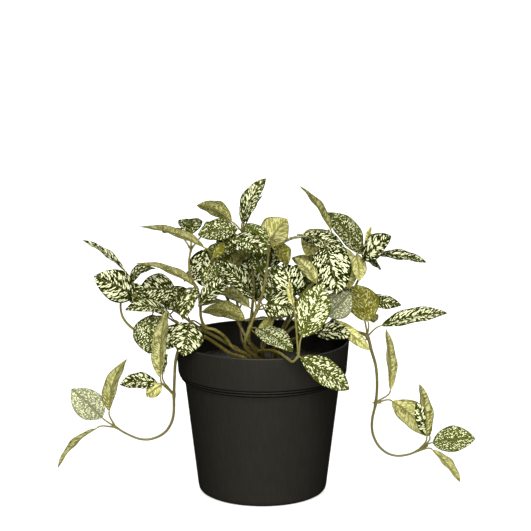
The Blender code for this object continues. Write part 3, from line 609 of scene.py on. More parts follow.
# Each leafy stem: where it stands in the compost, its route, and its leaves. A leaf is the point of the route
# where its whorl is, its base, its tip, the way its upper side looks, its width, its arch as a share of its
# length, and its pattern.
STEMS = {
    "trailing_left": {
        "root": (-11, -7),
        "route": [
            (-22, 97, -12), (-32, 104, -16), (-42, 110, -20), (-51, 110.5, -25), (-57, 103, -29),
            (-60.3, 92, -30), (-61.2, 80, -28), (-61.7, 67.5, -26), (-62.2, 53, -26), (-65.5, 44, -27),
            (-71, 38.5, -28), (-79, 35.5, -28), (-87, 36, -28), (-96, 40, -28), (-103, 44.5, -28),
        ],
        "leaves": [
            (7, (-71, 80, -36), (-66.5, 128, -56), (-0.78, 0.6, 0.1), 17, 0.06, "lined"),
            (7, (-69.5, 82, -24), (-66, 97, -20), (-0.7, -0.7, 0.0), 8, 0.08, "striped"),
            (7, (-73, 76, -27), (-99.5, 75, -30), (0.0, -0.5, 0.86), 16, 0.08, "blotched"),
            (7, (-70, 75, -30), (-81, 66.5, -36), (0.3, 0.95, 0.1), 10, 0.08, "lined"),
            (14, (-112, 51, -28), (-133, 72, -34), (-0.2, -0.9, 0.3), 21, 0.06, "silvery"),
            (14, (-107, 56, -28), (-94, 93.5, -36), (-0.8, 0.57, 0.25), 17.5, 0.1, "lined"),
            (14, (-116, 43.5, -28), (-144, 14, -38), (-0.65, 0.4, 0.65), 16, 0.09, "lined"),
        ],
    },
    "outer_left": {
        "root": (-13, 5),
        "route": [
            (-24, 104, 2), (-38, 112, 0), (-48, 115, -6), (-56, 117, -12), (-68, 114, -14),
            (-80, 111, -14), (-89, 114.5, -15), (-96, 122, -16), (-98, 131, -17), (-96, 141, -18),
            (-92, 150, -18),
        ],
        "leaves": [
            (3, (-61, 121, -16), (-95, 128, -34), (0.1, -0.35, 0.95), 20, 0.16, "striped"),
            (3, (-76, 125, -19), (-78.5, 97, -30), (-0.35, -0.9, 0.3), 25, 0.08, "speckled"),
            (3, (-57, 118, -22), (-66, 100, -33), (-0.1, -0.85, 0.4), 15, 0.06, "striped"),
            (10, (-94.5, 155.5, -17), (-124, 177.5, -12), (0.5, -0.1, 0.85), 15, 0.06, "striped"),
            (10, (-88, 138, -20), (-116, 152, -32), (0.1, -0.92, 0.3), 22, 0.06, "striped"),
            (10, (-91, 146, -14), (-73, 157, -8), (-0.4, -0.5, 0.8), 12, 0.3, "dark"),
            (10, (-90, 147, -14), (-83, 131, -20), (-0.2, -0.8, 0.5), 14, 0.06, "dark"),
        ],
    },
    "upper_left": {
        "root": (-8, -1),
        "route": [
            (-20, 101, -3), (-26, 109, -6), (-33, 114, -8), (-39.5, 116, -9), (-42.5, 123, -10),
            (-43, 133, -10), (-45, 143, -10), (-49.5, 152, -9), (-50.5, 162, -8), (-49, 171, -8),
        ],
        "leaves": [
            (3, (-50, 119, -24), (-55, 95.5, -48), (0.15, -0.85, 0.4), 24, 0.06, "striped"),
            (5, (-43, 132, -21), (-20, 152, -16), (-0.55, -0.6, 0.6), 18, 0.08, "striped"),
            (6, (-46, 144.5, -13), (-88, 161, -30), (0.3, 0.46, 0.84), 19, 0.08, "lined"),
            (6, (-45, 144, -16), (-55, 121, -30), (-0.6, -0.7, 0.3), 15, 0.08, "blotched"),
            (6, (-60, 143, 1), (-85, 143, -1), (0.0, -0.85, 0.5), 22, 0.08, "lined"),
            (6, (-52, 143, -6), (-68, 130, 2), (-0.1, -0.7, 0.6), 16, 0.06, "dark"),
            (9, (-57, 181, -3), (-67, 182, 14), (0.0, -0.2, 0.97), 14, 0.1, "dark"),
            (9, (-49, 181, 0), (-50, 192, 26), (0.0, -0.3, 0.95), 17, 0.1, "dark"),
            (9, (-40, 181, -4), (-25, 187, 12), (0.0, -0.5, 0.85), 15, 0.1, "speckled"),
        ],
    },
    "middle_left": {
        "root": (-4, 5),
        "route": [(-11, 108, 4), (-18, 122, 10), (-25, 138, 9), (-31, 150, 4), (-34, 161, -2)],
        "leaves": [
            (4, (-40, 172, -18), (-85, 186.5, -36), (0.3, 0.48, 0.82), 20, 0.07, "lined"),
            (4, (-34, 165, -17), (-26, 175.5, -20), (0.5, 0.6, 0.3), 7, 0.08, "dark"),
            (4, (-39, 171, -1), (-42, 145, 5), (-0.4, -0.85, 0.1), 20, 0.06, "blotched"),
            (4, (-31, 163, -7), (-30, 142, -4), (0.1, -0.85, 0.3), 22, 0.06, "speckled"),
        ],
    },
    "centre_left": {
        "root": (-1, 9),
        "route": [
            (-9, 106, 8), (-8, 120, 8), (-6.5, 137, 7), (-6.5, 153, 6), (-8.5, 168, 3), (-13, 182, -1),
        ],
        "leaves": [
            (1, (-9, 130, -4), (-31, 140, -10), (0.1, 0.8, 0.55), 15, 0.25, "lined"),
            (1, (-12, 121, -4), (-42, 127, -16), (0.1, 0.85, 0.5), 17, 0.15, "speckled"),
            (5, (-14, 189, -4), (2.5, 220, -8), (-0.75, -0.6, 0.3), 18, 0.1, "blotched"),
            (5, (-11, 189, 0), (0.5, 209, 8), (-0.85, -0.1, 0.5), 14, 0.05, "striped"),
            (5, (-21, 190, 0), (-45, 201.5, -2), (0.35, 0.75, 0.55), 17, 0.14, "speckled"),
            (5, (-12, 188.5, -6), (4.5, 171.5, -14), (0.35, -0.75, 0.55), 14, 0.08, "speckled"),
            (5, (-22, 178, -12), (4, 167.5, -26), (0.1, -0.75, 0.65), 16, 0.1, "lined"),
            (5, (-17, 185, -8), (-44.5, 181, -10), (-0.1, -0.75, 0.6), 17, 0.1, "speckled"),
            (5, (-17, 181, -9), (-32, 171, -10), (0.0, -0.8, 0.5), 14, 0.06, "dark"),
        ],
    },
    "centre": {
        "root": (-2, -9),
        "route": [
            (-12, 102, -14), (-9, 115, -14), (-4, 128, -12), (0, 140, -10), (2.5, 153, -8), (4, 166, -6),
            (5.5, 177, -5),
        ],
        "leaves": [
            (1, (-4, 115, -22), (21, 98.5, -52), (0.2, -0.75, 0.65), 17, 0.06, "dotted"),
            (1, (-3, 112, -12), (8, 124, -4), (0.5, 0.8, 0.2), 8, 0.05, "speckled"),
            (2, (-6, 136, -13), (-32.5, 162.5, -24), (0.55, -0.75, 0.4), 15, 0.08, "lined"),
            (2, (2, 132, -16), (24, 127, -26), (0.1, -0.75, 0.6), 22, 0.08, "striped"),
            (2, (4, 134, 11), (11, 160, 13), (-0.2, -0.85, 0.4), 19, 0.06, "lined"),
            (4, (-1, 154, -3), (-5, 172, -2), (-0.3, -0.85, 0.3), 12, 0.06, "dark"),
            (6, (3, 174, -3), (17, 192, 3), (-0.1, 0.9, 0.4), 24, 0.1, "striped"),
            (6, (9, 174.5, -7), (18, 160.5, -14), (0.4, 0.85, 0.3), 14, 0.08, "dark"),
            (6, (9, 171, -9), (35, 178, -14), (-0.2, 0.1, 0.97), 14, 0.14, "lined"),
        ],
    },
    "front_right": {
        "root": (4, -14),
        "route": [
            (-3, 98, -25), (4, 99.5, -40), (11, 98, -54), (17, 94, -63), (21, 91.5, -67), (25, 95.5, -66),
        ],
        "leaves": [
            (5, (27, 109, -62), (42, 147, -48), (-0.1, -0.95, 0.3), 23, 0.06, "spotted"),
            (5, (26.5, 94.5, -66), (60.5, 71.5, -62), (0.35, -0.8, 0.5), 19, 0.08, "spotted"),
            (5, (21.5, 131, -64), (18.5, 149, -60), (-0.7, 0.7, 0.1), 6.5, 0.06, "lined"),
        ],
    },
    "upper_right": {
        "root": (7, 0),
        "route": [
            (11, 108, 2), (16, 119, 1), (22, 131, -4), (30, 142, -6), (38, 151, -6), (43, 165, -4),
            (46, 178, -2),
        ],
        "leaves": [
            (2, (21, 137, -2), (14, 161, -2), (0.0, -0.9, 0.3), 24, 0.08, "blotched"),
            (4, (37, 147, -35), (22.5, 165, -36), (0.5, 0.75, 0.4), 13, 0.08, "lined"),
            (4, (36, 137, 2), (22, 160, 6), (-0.2, -0.9, 0.3), 20, 0.06, "dark"),
            (6, (47, 184, -5), (25, 215, -12), (0.78, 0.42, 0.45), 15, 0.06, "striped"),
            (6, (45, 184, 2), (30, 166, 8), (-0.3, 0.9, 0.3), 22, 0.1, "lined"),
            (6, (43, 174, -14), (53, 139, -32), (0.0, -0.85, 0.5), 27, 0.08, "blotched"),
            (6, (25, 180, -4), (60, 162, -6), (0.2, -0.6, 0.8), 18, 0.16, "lined"),
            (6, (54, 173, 4), (60, 143, 8), (0.2, 0.9, 0.2), 18, 0.06, "lined"),
        ],
    },
    "outer_right": {
        "root": (11, 6),
        "route": [
            (17, 112, 8), (32, 122, 10), (47, 131, 10), (58, 138, 7), (64.5, 146, 4), (68, 156, 1),
            (69.5, 163, -2),
        ],
        "leaves": [
            (6, (68, 167.5, 8), (44, 196.5, 12), (0.45, -0.65, 0.6), 22, 0.06, "speckled"),
            (6, (64.5, 167, -3), (66.5, 148.5, -3), (0.3, 0.9, 0.2), 11, 0.08, "lined"),
            (6, (68.5, 164.8, -11), (88.5, 180, -24), (-0.3, -0.75, 0.6), 19, 0.06, "blotched"),
            (6, (78, 167, -4), (113, 161.5, -10), (0.0, -0.25, 0.97), 16, 0.06, "striped"),
            (6, (72, 163, -4), (81.5, 157.5, 4), (0.2, -0.5, 0.8), 11, 0.06, "dark"),
            (6, (71, 173, 4), (74.5, 187, 10), (-0.2, 0.9, 0.3), 4.5, 0.06, "striped"),
        ],
    },
    "trailing_right": {
        "root": (8, 12),
        "route": [
            (14, 104, 14), (30, 110, 12), (45, 114, 6), (57, 115, 0), (66, 112.5, -4), (72.5, 109.5, -7),
            (75.8, 98.7, -9), (78.8, 88, -9), (79.8, 75, -9), (79, 62, -9), (76.7, 50, -9), (77, 40.5, -9),
            (80.5, 32, -10), (86.5, 26, -11), (94, 23.5, -12), (102.5, 24.5, -13), (109.5, 27.5, -14),
            (116, 31, -15),
        ],
        "leaves": [
            (1, (36, 112, -8), (61, 109.5, -14), (0.0, -0.45, 0.9), 20, 0.06, "striped"),
            (2, (44, 124, -8), (60.5, 141, -11), (0.3, -0.85, 0.4), 20, 0.06, "silvery"),
            (2, (50, 121, -4), (74.5, 99.5, -18), (0.25, 0.92, -0.3), 9, 0.08, "lined"),
            (5, (82, 117, -10), (128, 126, -16), (-0.15, -0.45, 0.88), 17, 0.07, "blotched"),
            (5, (73, 134, -3), (96, 131.5, -10), (-0.1, -0.7, 0.65), 11, 0.06, "lined"),
            (5, (73, 120, -12), (64, 146, -9), (0.3, 0.9, 0.1), 23, 0.08, "dark"),
            (9, (89, 71, -9), (85.5, 115, -14), (0.88, 0.45, 0.0), 14, 0.05, "lined"),
            (9, (90.5, 63, -10), (116, 37.5, -14), (0.35, 0.85, 0.3), 22, 0.12, "lined"),
            (16, (115, 38, -24), (109.5, 75.5, -32), (0.8, 0.55, 0.0), 14, 0.06, "striped"),
            (16, (117, 38, -20), (107, 62, -26), (0.3, -0.9, 0.3), 12, 0.06, "striped"),
            (16, (119, 33, -15), (149, 36, -20), (0.1, -0.8, 0.55), 19, 0.06, "dotted"),
            (16, (119, 28, -14), (139, 4, -20), (0.65, 0.5, 0.55), 16, 0.06, "lined"),
        ],
    },
    # The photograph cannot show the stems at the back, which the front ones hide.
    "back_left": {
        "root": (-8, 14),
        "route": [(-13, 104, 18), (-15, 114, 22), (-16.5, 128, 26), (-20, 142, 32), (-26, 153, 38)],
        "leaves": [
            (2, (-20, 131, 31), (-42, 131, 50), (-0.1, 0.5, 0.85), 20, 0.1, "striped"),
            (2, (-13, 134, 30), (1, 146, 50), (0.2, 0.6, 0.8), 20, 0.1, "speckled"),
            (3, (-26, 143, 28), (-50, 149, 22), (-0.2, 0.3, 0.9), 20, 0.1, "lined"),
            (4, (-31, 155, 42), (-54, 148, 56), (-0.3, 0.5, 0.8), 21, 0.1, "blotched"),
            (4, (-26, 158, 43), (-30, 176, 64), (-0.1, 0.2, 0.97), 22, 0.08, "dark"),
            (4, (-22, 157, 38), (-5, 170, 32), (0.1, 0.6, 0.8), 18, 0.08, "dotted"),
        ],
    },
    "back_right": {
        "root": (7, 19),
        "route": [(11, 104, 22), (16, 116, 26), (24, 128, 30), (34, 139, 34), (42, 150, 38)],
        "leaves": [
            (2, (22, 131, 36), (6, 137, 58), (-0.2, 0.5, 0.85), 20, 0.1, "striped"),
            (2, (28, 128, 36), (45, 127, 60), (0.2, 0.5, 0.85), 20, 0.1, "speckled"),
            (3, (40, 140, 30), (60, 146, 22), (0.2, 0.3, 0.9), 20, 0.1, "lined"),
            (4, (46, 152, 40), (66, 152, 58), (0.3, 0.5, 0.8), 21, 0.1, "blotched"),
            (4, (42, 155, 42), (38, 172, 64), (0.1, 0.2, 0.97), 22, 0.08, "dark"),
            (4, (38, 154, 37), (20, 165, 37), (-0.1, 0.6, 0.8), 18, 0.08, "dotted"),
        ],
    },
    "back_upright": {
        "root": (0, 20),
        "route": [(3, 106, 23), (5, 122, 23), (4, 140, 22), (0, 156, 20), (-2, 170, 19)],
        "leaves": [
            (1, (-1, 134, 20), (-12, 165, 15), (0.0, -0.9, 0.3), 20, 0.06, "striped"),
            (2, (8, 143, 26), (26, 150, 44), (0.2, 0.5, 0.85), 19, 0.1, "speckled"),
            (2, (1, 144, 27), (-14, 148, 48), (-0.2, 0.4, 0.9), 19, 0.1, "lined"),
            (3, (3, 158, 24), (10, 179, 30), (0.1, -0.8, 0.4), 18, 0.06, "blotched"),
            (4, (1, 175, 21), (14, 182, 36), (0.2, 0.3, 0.95), 17, 0.1, "dark"),
            (4, (-5, 174, 22), (-26, 176, 36), (-0.2, 0.4, 0.9), 20, 0.1, "dotted"),
            (4, (-2, 177, 23), (-6, 186, 46), (0.0, 0.1, 0.97), 20, 0.1, "striped"),
        ],
    },
    "back_outer_left": {
        "root": (-15, 13),
        "route": [(-24, 104, 17), (-38, 112, 24), (-50, 120, 29), (-61, 128, 33)],
        "leaves": [
            (2, (-54, 124, 33), (-62, 137, 52), (-0.1, 0.2, 0.97), 18, 0.1, "speckled"),
            (3, (-66, 130, 35), (-85, 139, 46), (-0.3, 0.3, 0.9), 20, 0.1, "lined"),
            (3, (-63, 132, 37), (-68, 145, 58), (-0.1, 0.4, 0.9), 19, 0.1, "blotched"),
            (3, (-65, 124, 36), (-80, 113, 50), (-0.5, 0.6, 0.6), 19, 0.1, "dark"),
        ],
    },
    "back_outer_right": {
        "root": (14, 14),
        "route": [(22, 105, 18), (36, 113, 24), (49, 121, 28), (60, 129, 30)],
        "leaves": [
            (3, (65, 131, 32), (82, 139, 44), (0.3, 0.3, 0.9), 20, 0.1, "dotted"),
            (3, (61, 132, 35), (64, 145, 56), (0.1, 0.4, 0.9), 19, 0.1, "striped"),
            (3, (64, 125, 34), (77, 119, 50), (0.4, 0.6, 0.7), 19, 0.1, "speckled"),
        ],
    },
    "back_trailing": {
        "root": (-1, 27),
        "route": [
            (3, 114, 34), (7.8, 123.3, 46), (10.6, 126.7, 57), (12.5, 122.8, 66), (13.4, 112.5, 71),
            (12.4, 99.7, 73), (8.6, 86.7, 74), (2, 75.9, 76), (-7.4, 71, 79),
        ],
        "leaves": [
            (3, (6, 121, 72), (-16, 116, 84), (-0.3, 0.3, 0.9), 19, 0.1, "lined"),
            (3, (18, 119, 72), (40, 116, 82), (0.3, 0.3, 0.9), 19, 0.1, "blotched"),
            (5, (18, 99, 76), (40, 100, 88), (0.3, 0.5, 0.8), 20, 0.1, "dark"),
            (5, (8, 95, 79), (-10, 82, 98), (-0.3, 0.7, 0.6), 21, 0.1, "dotted"),
            (8, (-13, 72, 82), (-37, 76, 88), (-0.1, 0.6, 0.8), 20, 0.1, "striped"),
            (8, (-12, 66, 84), (-27, 46, 96), (-0.3, 0.8, 0.45), 21, 0.1, "speckled"),
            (8, (-4, 65, 84), (10, 46, 96), (0.3, 0.8, 0.5), 20, 0.1, "lined"),
        ],
    },
}

LEAF_GREEN = (0.037, 0.045, 0.005, 1.0)
LEAF_DARK = (0.004, 0.006, 0.0005, 1.0)
LEAF_PALE = (0.090, 0.103, 0.020, 1.0)
LEAF_CREAM = (0.560, 0.565, 0.340, 1.0)
# This pale grey-green is a painted sheen, for leaves that catch the light.
LEAF_PAINTED_SHEEN = (0.120, 0.128, 0.072, 1.0)
MIDRIB_GREEN = (0.095, 0.105, 0.030, 1.0)
UNDER_KHAKI = (0.265, 0.256, 0.072, 1.0)
UNDER_OLIVE = (0.080, 0.076, 0.005, 1.0)
UNDER_PALE = (0.54, 0.53, 0.26, 1.0)
UNDER_DARK = (0.036, 0.034, 0.002, 1.0)
STEM_BROWN = (0.042, 0.032, 0.005, 1.0)
STEM_OLIVE = (0.112, 0.100, 0.021, 1.0)
STEM_YOUNG = (0.120, 0.108, 0.024, 1.0)
FLECK_EDGE = 0.525
VEINS_APART = 5.0
SHADE_SCALE = 160.0
PALE_SCALE = 700.0
CREAM_SCALE = 420.0
UPPER_CELL_SCALE = 2600.0
UNDER_CELL_SCALE = 2200.0
STREAK_SCALE = 700.0
PATCH_SCALE = 60.0
UPPER_ROUGHNESS = 0.42
UNDER_ROUGHNESS = 0.52
STEM_ROUGHNESS = 0.30
STEM_GLOSS = 0.2
UPPER_RELIEF = 0.35
UNDER_RELIEF = 0.3
LEAF_BUMP = 0.8
STEM_RELIEF = 0.08
BROWN_HEIGHT = 30.0


def blade_places(made):
    """Where a point is on its blade: out from the midrib either way or both, and across the lateral veins."""
    along, out, _ = made.split(made.out(made.add("ShaderNodeUVMap", {"uv_map": "blade"})))
    away = made.maths("ABSOLUTE", out)
    return out, away, along - away * VEIN_LEAN - away * away * VEIN_CURVE


def flecks(made, out, away, veins):
    """Where the cream flecks are, from 0 to 1 with their edges at FLECK_EDGE: blots in the blade's middle,
    with dots and dashes all over it, drawn out along the lateral veins and thinned out on the midrib."""
    width = made.attribute("fleck_width")
    seed = made.attribute("leaf_seed")
    to_margin = made.attribute("to_margin")
    across_veins = veins / width
    along_veins = away / (width * made.attribute("fleck_stretch")) + made.maths("SIGN", out) * VEINS_APART
    past_foot = made.smooth_step(made.attribute("t"), 0.05, 0.40)
    inside = past_foot * (1.0 - made.smooth_step(to_margin, 0.55, 1.0))
    blotting = made.noise(made.join(across_veins, along_veins, seed * 40.0), roughness=0.45)
    blots = blotting + inside * 0.15 - 0.215 + made.attribute("blot_cover")
    jagged = made.noise(made.join(across_veins * 3.0, along_veins * 3.0, seed * 60.0))
    dot_place = made.join(across_veins * 1.05 + seed * 80.0, along_veins * 1.4, 0.0)
    dot = made.add("ShaderNodeTexVoronoi", {"voronoi_dimensions": "2D"}, {"Vector": dot_place, "Scale": 1.0})
    size = made.split(made.out(dot, "Color"))[0] * 0.32 + jagged * 0.30 - 0.06
    off_margin = made.smooth_step(to_margin, 0.85, 1.0) * 0.05
    dots = (size - made.out(dot, "Distance")) * 0.30 + FLECK_EDGE - off_margin
    off_midrib = made.smooth_step(away, 0.2, 1.3) * 0.08 - 0.08
    return made.maths("MAXIMUM", blots, dots) + made.attribute("fleck_cover") + off_midrib


def vein_lines(made, veins, start):
    """The thin lateral veins themselves, from where a wave across them is this high."""
    return made.smooth_step(made.maths("COSINE", veins * (math.tau / VEIN_SPACING)), start, 1.0)


def leaf_upper_finish():
    """Deep green with cream flecks along the veins, quilted between its veins, matt."""
    made = Finish("leaf upper side")
    place = made.place()
    out, away, veins = blade_places(made)
    fleck = made.smooth_step(flecks(made, out, away, veins), FLECK_EDGE - 0.01, FLECK_EDGE + 0.012)
    shading = made.noise(place, SHADE_SCALE, 3.0) * 0.45 + made.attribute("leaf_tone") * 0.55
    green = made.mix(made.smooth_step(shading, 0.25, 0.75), LEAF_DARK, LEAF_GREEN)
    worn = made.mix(made.smooth_step(made.noise(place, PALE_SCALE), 0.50, 0.70) * 0.5, green, LEAF_PALE)
    # Leaves of the sheen pattern are painted a pale grey-green over their green: a painted sheen of light
    # glancing off and shining through them.
    ground = made.mix(made.attribute("silver"), worn, LEAF_PAINTED_SHEEN)
    cream = made.mix(made.smooth_step(made.noise(place, CREAM_SCALE), 0.35, 0.60), LEAF_PALE, LEAF_CREAM)
    flecked = made.mix(fleck, ground, made.mix(0.78, cream, LEAF_CREAM))
    midrib = 1.0 - made.smooth_step(away, 0.12, 0.34)
    cells = made.noise(place, UPPER_CELL_SCALE)
    relief = 0.7 - vein_lines(made, veins, 0.80) * 0.5 - midrib * 0.6 + cells * 0.10 + fleck * 0.06
    made.set({
        "Base Color": made.mix(midrib * 0.6, flecked, MIDRIB_GREEN),
        "Roughness": UPPER_ROUGHNESS + cells * 0.12 + fleck * 0.06,
        "Normal": made.bump(relief, UPPER_RELIEF, LEAF_BUMP),
        "Specular IOR Level": 0.0,
    })
    return made.material


def leaf_under_finish():
    """Khaki with paler mottling where the flecks show through, pale veins and a darker margin."""
    made = Finish("leaf under side")
    out, away, veins = blade_places(made)
    mottle = made.smooth_step(flecks(made, out, away, veins), FLECK_EDGE - 0.06, FLECK_EDGE + 0.03)
    soft = made.noise(made.join(veins * 0.16, away * 0.10 + out * 0.03, made.attribute("leaf_seed") * 30.0))
    lines = vein_lines(made, veins, 0.72)
    margin = made.smooth_step(made.attribute("to_margin"), 0.86, 1.0)
    paleness = made.attribute("under_pale")
    plain = made.mix(paleness, UNDER_OLIVE, UNDER_KHAKI)
    khaki = made.mix(made.smooth_step(soft, 0.40, 0.65) * 0.55, plain, UNDER_DARK)
    mottled = made.mix((mottle * 0.90 + lines * 0.10) * (paleness * 0.4 + 0.5), khaki, UNDER_PALE)
    relief = lines * 0.7 + made.noise(made.place(), UNDER_CELL_SCALE) * 0.2
    made.set({
        "Base Color": made.mix(margin * 0.8, mottled, UNDER_DARK),
        "Roughness": UNDER_ROUGHNESS + soft * 0.12,
        "Normal": made.bump(relief, UNDER_RELIEF, LEAF_BUMP),
        "Specular IOR Level": 0.0,
    })
    return made.material


def stem_finish():
    """Olive brown, smooth and a little glossy, browner near the compost, with fine streaks."""
    made = Finish("leafy stem")
    place = made.place()
    streaks = made.noise(place, STREAK_SCALE, 3.0, 0.6)
    patches = made.noise(place, PATCH_SCALE)
    risen = made.smooth_step(made.split(place)[2], STEM_CLEAR_Z * MM, (STEM_CLEAR_Z + BROWN_HEIGHT) * MM)
    ripe = made.smooth_step(patches * 0.5 + streaks * 0.5 + risen * 0.14 - 0.12, 0.40, 0.60)
    made.set({
        "Base Color": made.mix(made.attribute("youth"), made.mix(ripe, STEM_BROWN, STEM_OLIVE), STEM_YOUNG),
        "Roughness": STEM_ROUGHNESS + streaks * 0.16,
        "Normal": made.bump(streaks, STEM_RELIEF),
        "Specular IOR Level": STEM_GLOSS,
    })
    return made.material


def tube_part(net):
    """Round tubes along the piece's edges, for stems, petioles and midribs."""
    chosen = {"Geometry": net.port("Geometry"), "Selection": net.attribute("is_tube")}
    edges = net.shape("SeparateGeometry", chosen, {"domain": "POINT"})
    path = net.shape("MeshToCurve", {"Mesh": edges})
    sides = net.port("Tube sides", "NodeSocketInt")
    circle = net.shape("CurvePrimitiveCircle", {"Resolution": sides, "Radius": 1.0})
    return net.shape("CurveToMesh", {
        "Curve": path, "Profile Curve": circle, "Scale": net.attribute("tube_radius"), "Fill Caps": True
    })


def unit_blade(net):
    """A blade of two grids, upper and under side, that know their share t of its length and s of its half."""
    along = net.port("Steps along", "NodeSocketInt")
    across = net.port("Steps across", "NodeSocketInt")
    grid = net.shape("MeshGrid", {"Size X": 1.0, "Size Y": 2.0, "Vertices X": along, "Vertices Y": across})
    x, y, _ = net.split(net.shape("InputPosition"))
    grid = net.store(grid, "t", 0.5 - net.maths("COSINE", (x + 0.5) * math.pi) * 0.5)
    grid = net.store(grid, "s", net.maths("SINE", y * (math.pi / 2)))
    upper = net.store(net.shape("FlipFaces", {"Mesh": grid}), "drop", 0.0)
    under = net.store(grid, "drop", 1.0)
    return net.together(
        net.store(upper, "under_side", False, "BOOLEAN", "FACE"),
        net.store(under, "under_side", True, "BOOLEAN", "FACE"),
    )


def blade_part(net):
    """A blade at each loose point, shaped by the point's own chord, width, arch and seed."""
    chosen = {"Geometry": net.port("Geometry"), "Selection": 1.0 - net.attribute("is_tube")}
    points = net.shape("SeparateGeometry", chosen, {"domain": "POINT"})
    blades = net.shape("InstanceOnPoints", {"Points": points, "Instance": unit_blade(net)})
    t, s, drop, half, arch, seed = map(net.attribute, ("t", "s", "drop", "half", "arch", "leaf_seed"))
    foot, chord, side, up = [net.attribute(name, "FLOAT_VECTOR") for name in ("foot", "chord", "side", "up")]
    away = net.maths("ABSOLUTE", s)
    width = half * (t ** OUTLINE_FOOT_POWER) * ((1.0 - t) ** OUTLINE_TIP_POWER) / OUTLINE_PEAK
    out = width * s
    middle = t * (1.0 - t) * 4.0
    length = net.out(net.add("ShaderNodeVectorMath", {"operation": "LENGTH"}, {0: chord}), 1)
    rounding = FOLD_ROUNDING * MM
    fold = (net.maths("SQRT", out * out + rounding ** 2) - rounding) * net.port("Fold")
    bulge = width * away * (1.0 - away) * 4.0 * net.port("Bulge")
    veins = (t * length - width * away * VEIN_LEAN) * (math.tau / (VEIN_SPACING * MM))
    quilt = net.maths("COSINE", veins) * away * (1.0 - away) * -4.0 * net.port("Quilt")
    ripple = net.maths("SINE", t * WAVES_ALONG + s * WAVE_SLANT + seed * 30.0)
    wave = ripple * away * away * middle * net.port("Wave")
    lift = arch * middle + fold + bulge + quilt * middle + wave
    ends = 1.0 - net.maths("ABSOLUTE", t * 2.0 - 1.0) ** SHARP_END
    thickness = (1.0 - away ** SHARP_MARGIN) * ends * net.port("Thickness")
    sickle = (seed - 0.5) * 2.0 * net.port("Sickle") * length * middle
    place = foot + chord * t + side * (out + sickle) + up * (lift - thickness * drop)
    shaped = net.shape("SetPosition", {"Geometry": net.together(blades), "Position": place})
    uv = net.join(t * length * (1 / MM), out * (1 / MM), 0.0)
    mapped = net.store(net.store(shaped, "blade", uv, "FLOAT2", "CORNER"), "to_margin", away)
    return net.shape("MergeByDistance", {"Geometry": mapped, "Distance": SAME_PLACE * MM})


def leafy_stem_grower():
    """One tree for the whole of a leafy stem: tubes along its edges, and blades at its loose points."""
    net = Grower("leafy stem")
    smooth = net.shape("SetShadeSmooth", {"Geometry": net.together(tube_part(net), blade_part(net))})
    choices = (
        ("Stem", net.attribute("is_tube", "BOOLEAN")),
        ("Upper side", 1.0 - net.attribute("is_tube")),
        ("Under side", net.attribute("under_side", "BOOLEAN")),
    )
    for name, choice in choices:
        values = {"Geometry": smooth, "Selection": choice, "Material": net.port(name, "NodeSocketMaterial")}
        smooth = net.shape("SetMaterial", values)
    net.finish(smooth)
    return net


def from_drawing(across, up, depth):
    """The point at this depth that the eye sees at (across, up) on the front drawing."""
    on_plane = Vector((across, 0.0, up))
    return EYE + (on_plane - EYE) * ((depth - EYE.y) / -EYE.y)


def smooth_points(points, step, start, finer):
    """Points about a step apart on a smooth curve through the given ones, and where each given one lies."""
    ends = [points[1] - start * 2, *points, points[-1] * 2 - points[-2]]
    made, places = [], []
    for before, here, there, after in zip(ends, ends[1:], ends[2:], ends[3:]):
        places.append(len(made))
        count = max(1, round((there - here).length / step)) * finer
        straight = there - before
        bend = before * 2 - here * 5 + there * 4 - after
        twist = here * 3 - before - there * 3 + after
        for i in range(count):
            t = i / count
            made.append((here * 2 + straight * t + bend * t ** 2 + twist * t ** 3) / 2)
    places.append(len(made))
    made.append(points[-1])
    return made, places


class Skeleton:
    """A leafy stem before it is grown: paths with a radius at each point, and one loose point a leaf."""

    POINT_VALUES = ("is_tube", "tube_radius", "youth", "half", "arch", "leaf_seed", "leaf_tone",
                    "fleck_width", "fleck_stretch", "fleck_cover", "blot_cover", "silver", "under_pale")
    POINT_VECTORS = ("foot", "chord", "side", "up")

    def __init__(self):
        self.points = []
        self.edges = []
        self.values = []

    def add_point(self, point, **values):
        self.points.append(point * MM)
        self.values.append(values)

    def add_tube(self, points, radii, youth):
        first = len(self.points)
        for point, radius, young in zip(points, radii, youth):
            self.add_point(point, is_tube=1.0, tube_radius=radius * MM, youth=young)
        self.edges.extend((first + i, first + i + 1) for i in range(len(points) - 1))

    def mesh(self, name):
        mesh = bpy.data.meshes.new(name)
        mesh.from_pydata(self.points, self.edges, [])
        for key in self.POINT_VALUES:
            layer = mesh.attributes.new(key, "FLOAT", "POINT")
            layer.data.foreach_set("value", [values.get(key, 0.0) for values in self.values])
        for key in self.POINT_VECTORS:
            layer = mesh.attributes.new(key, "FLOAT_VECTOR", "POINT")
            flat = [number for values in self.values for number in values.get(key, (0.0, 0.0, 0.0))]
            layer.data.foreach_set("vector", flat)
        return mesh


class Blade:
    """A leaf's frame: its foot, its chord, and the ways its side and its upper side look."""

    def __init__(self, base, tip, face, width, arch):
        self.base = base
        self.chord = tip - base
        along = self.chord.normalized()
        face = Vector(face)
        self.up = (face - along * face.dot(along)).normalized()
        self.side = along.cross(self.up)
        self.half = width / 2
        self.arch = arch * self.chord.length

    def midrib(self, t, drop):
        lift = self.arch * 4 * t * (1 - t) - drop
        return self.base + self.chord * t + self.up * lift


def petiole_points(node, blade):
    """From the stem to the blade's foot, leaving the stem and joining the blade smoothly."""
    foot = blade.base
    reach = (foot - node).length / 3
    leaving = node + (foot - node).normalized() * reach
    arriving = foot - blade.chord.normalized() * reach
    for i in range(PETIOLE_STEPS):
        t = i / PETIOLE_STEPS
        near = node * (1 - t) ** 3 + leaving * 3 * t * (1 - t) ** 2
        yield near + arriving * 3 * t ** 2 * (1 - t) + foot * t ** 3


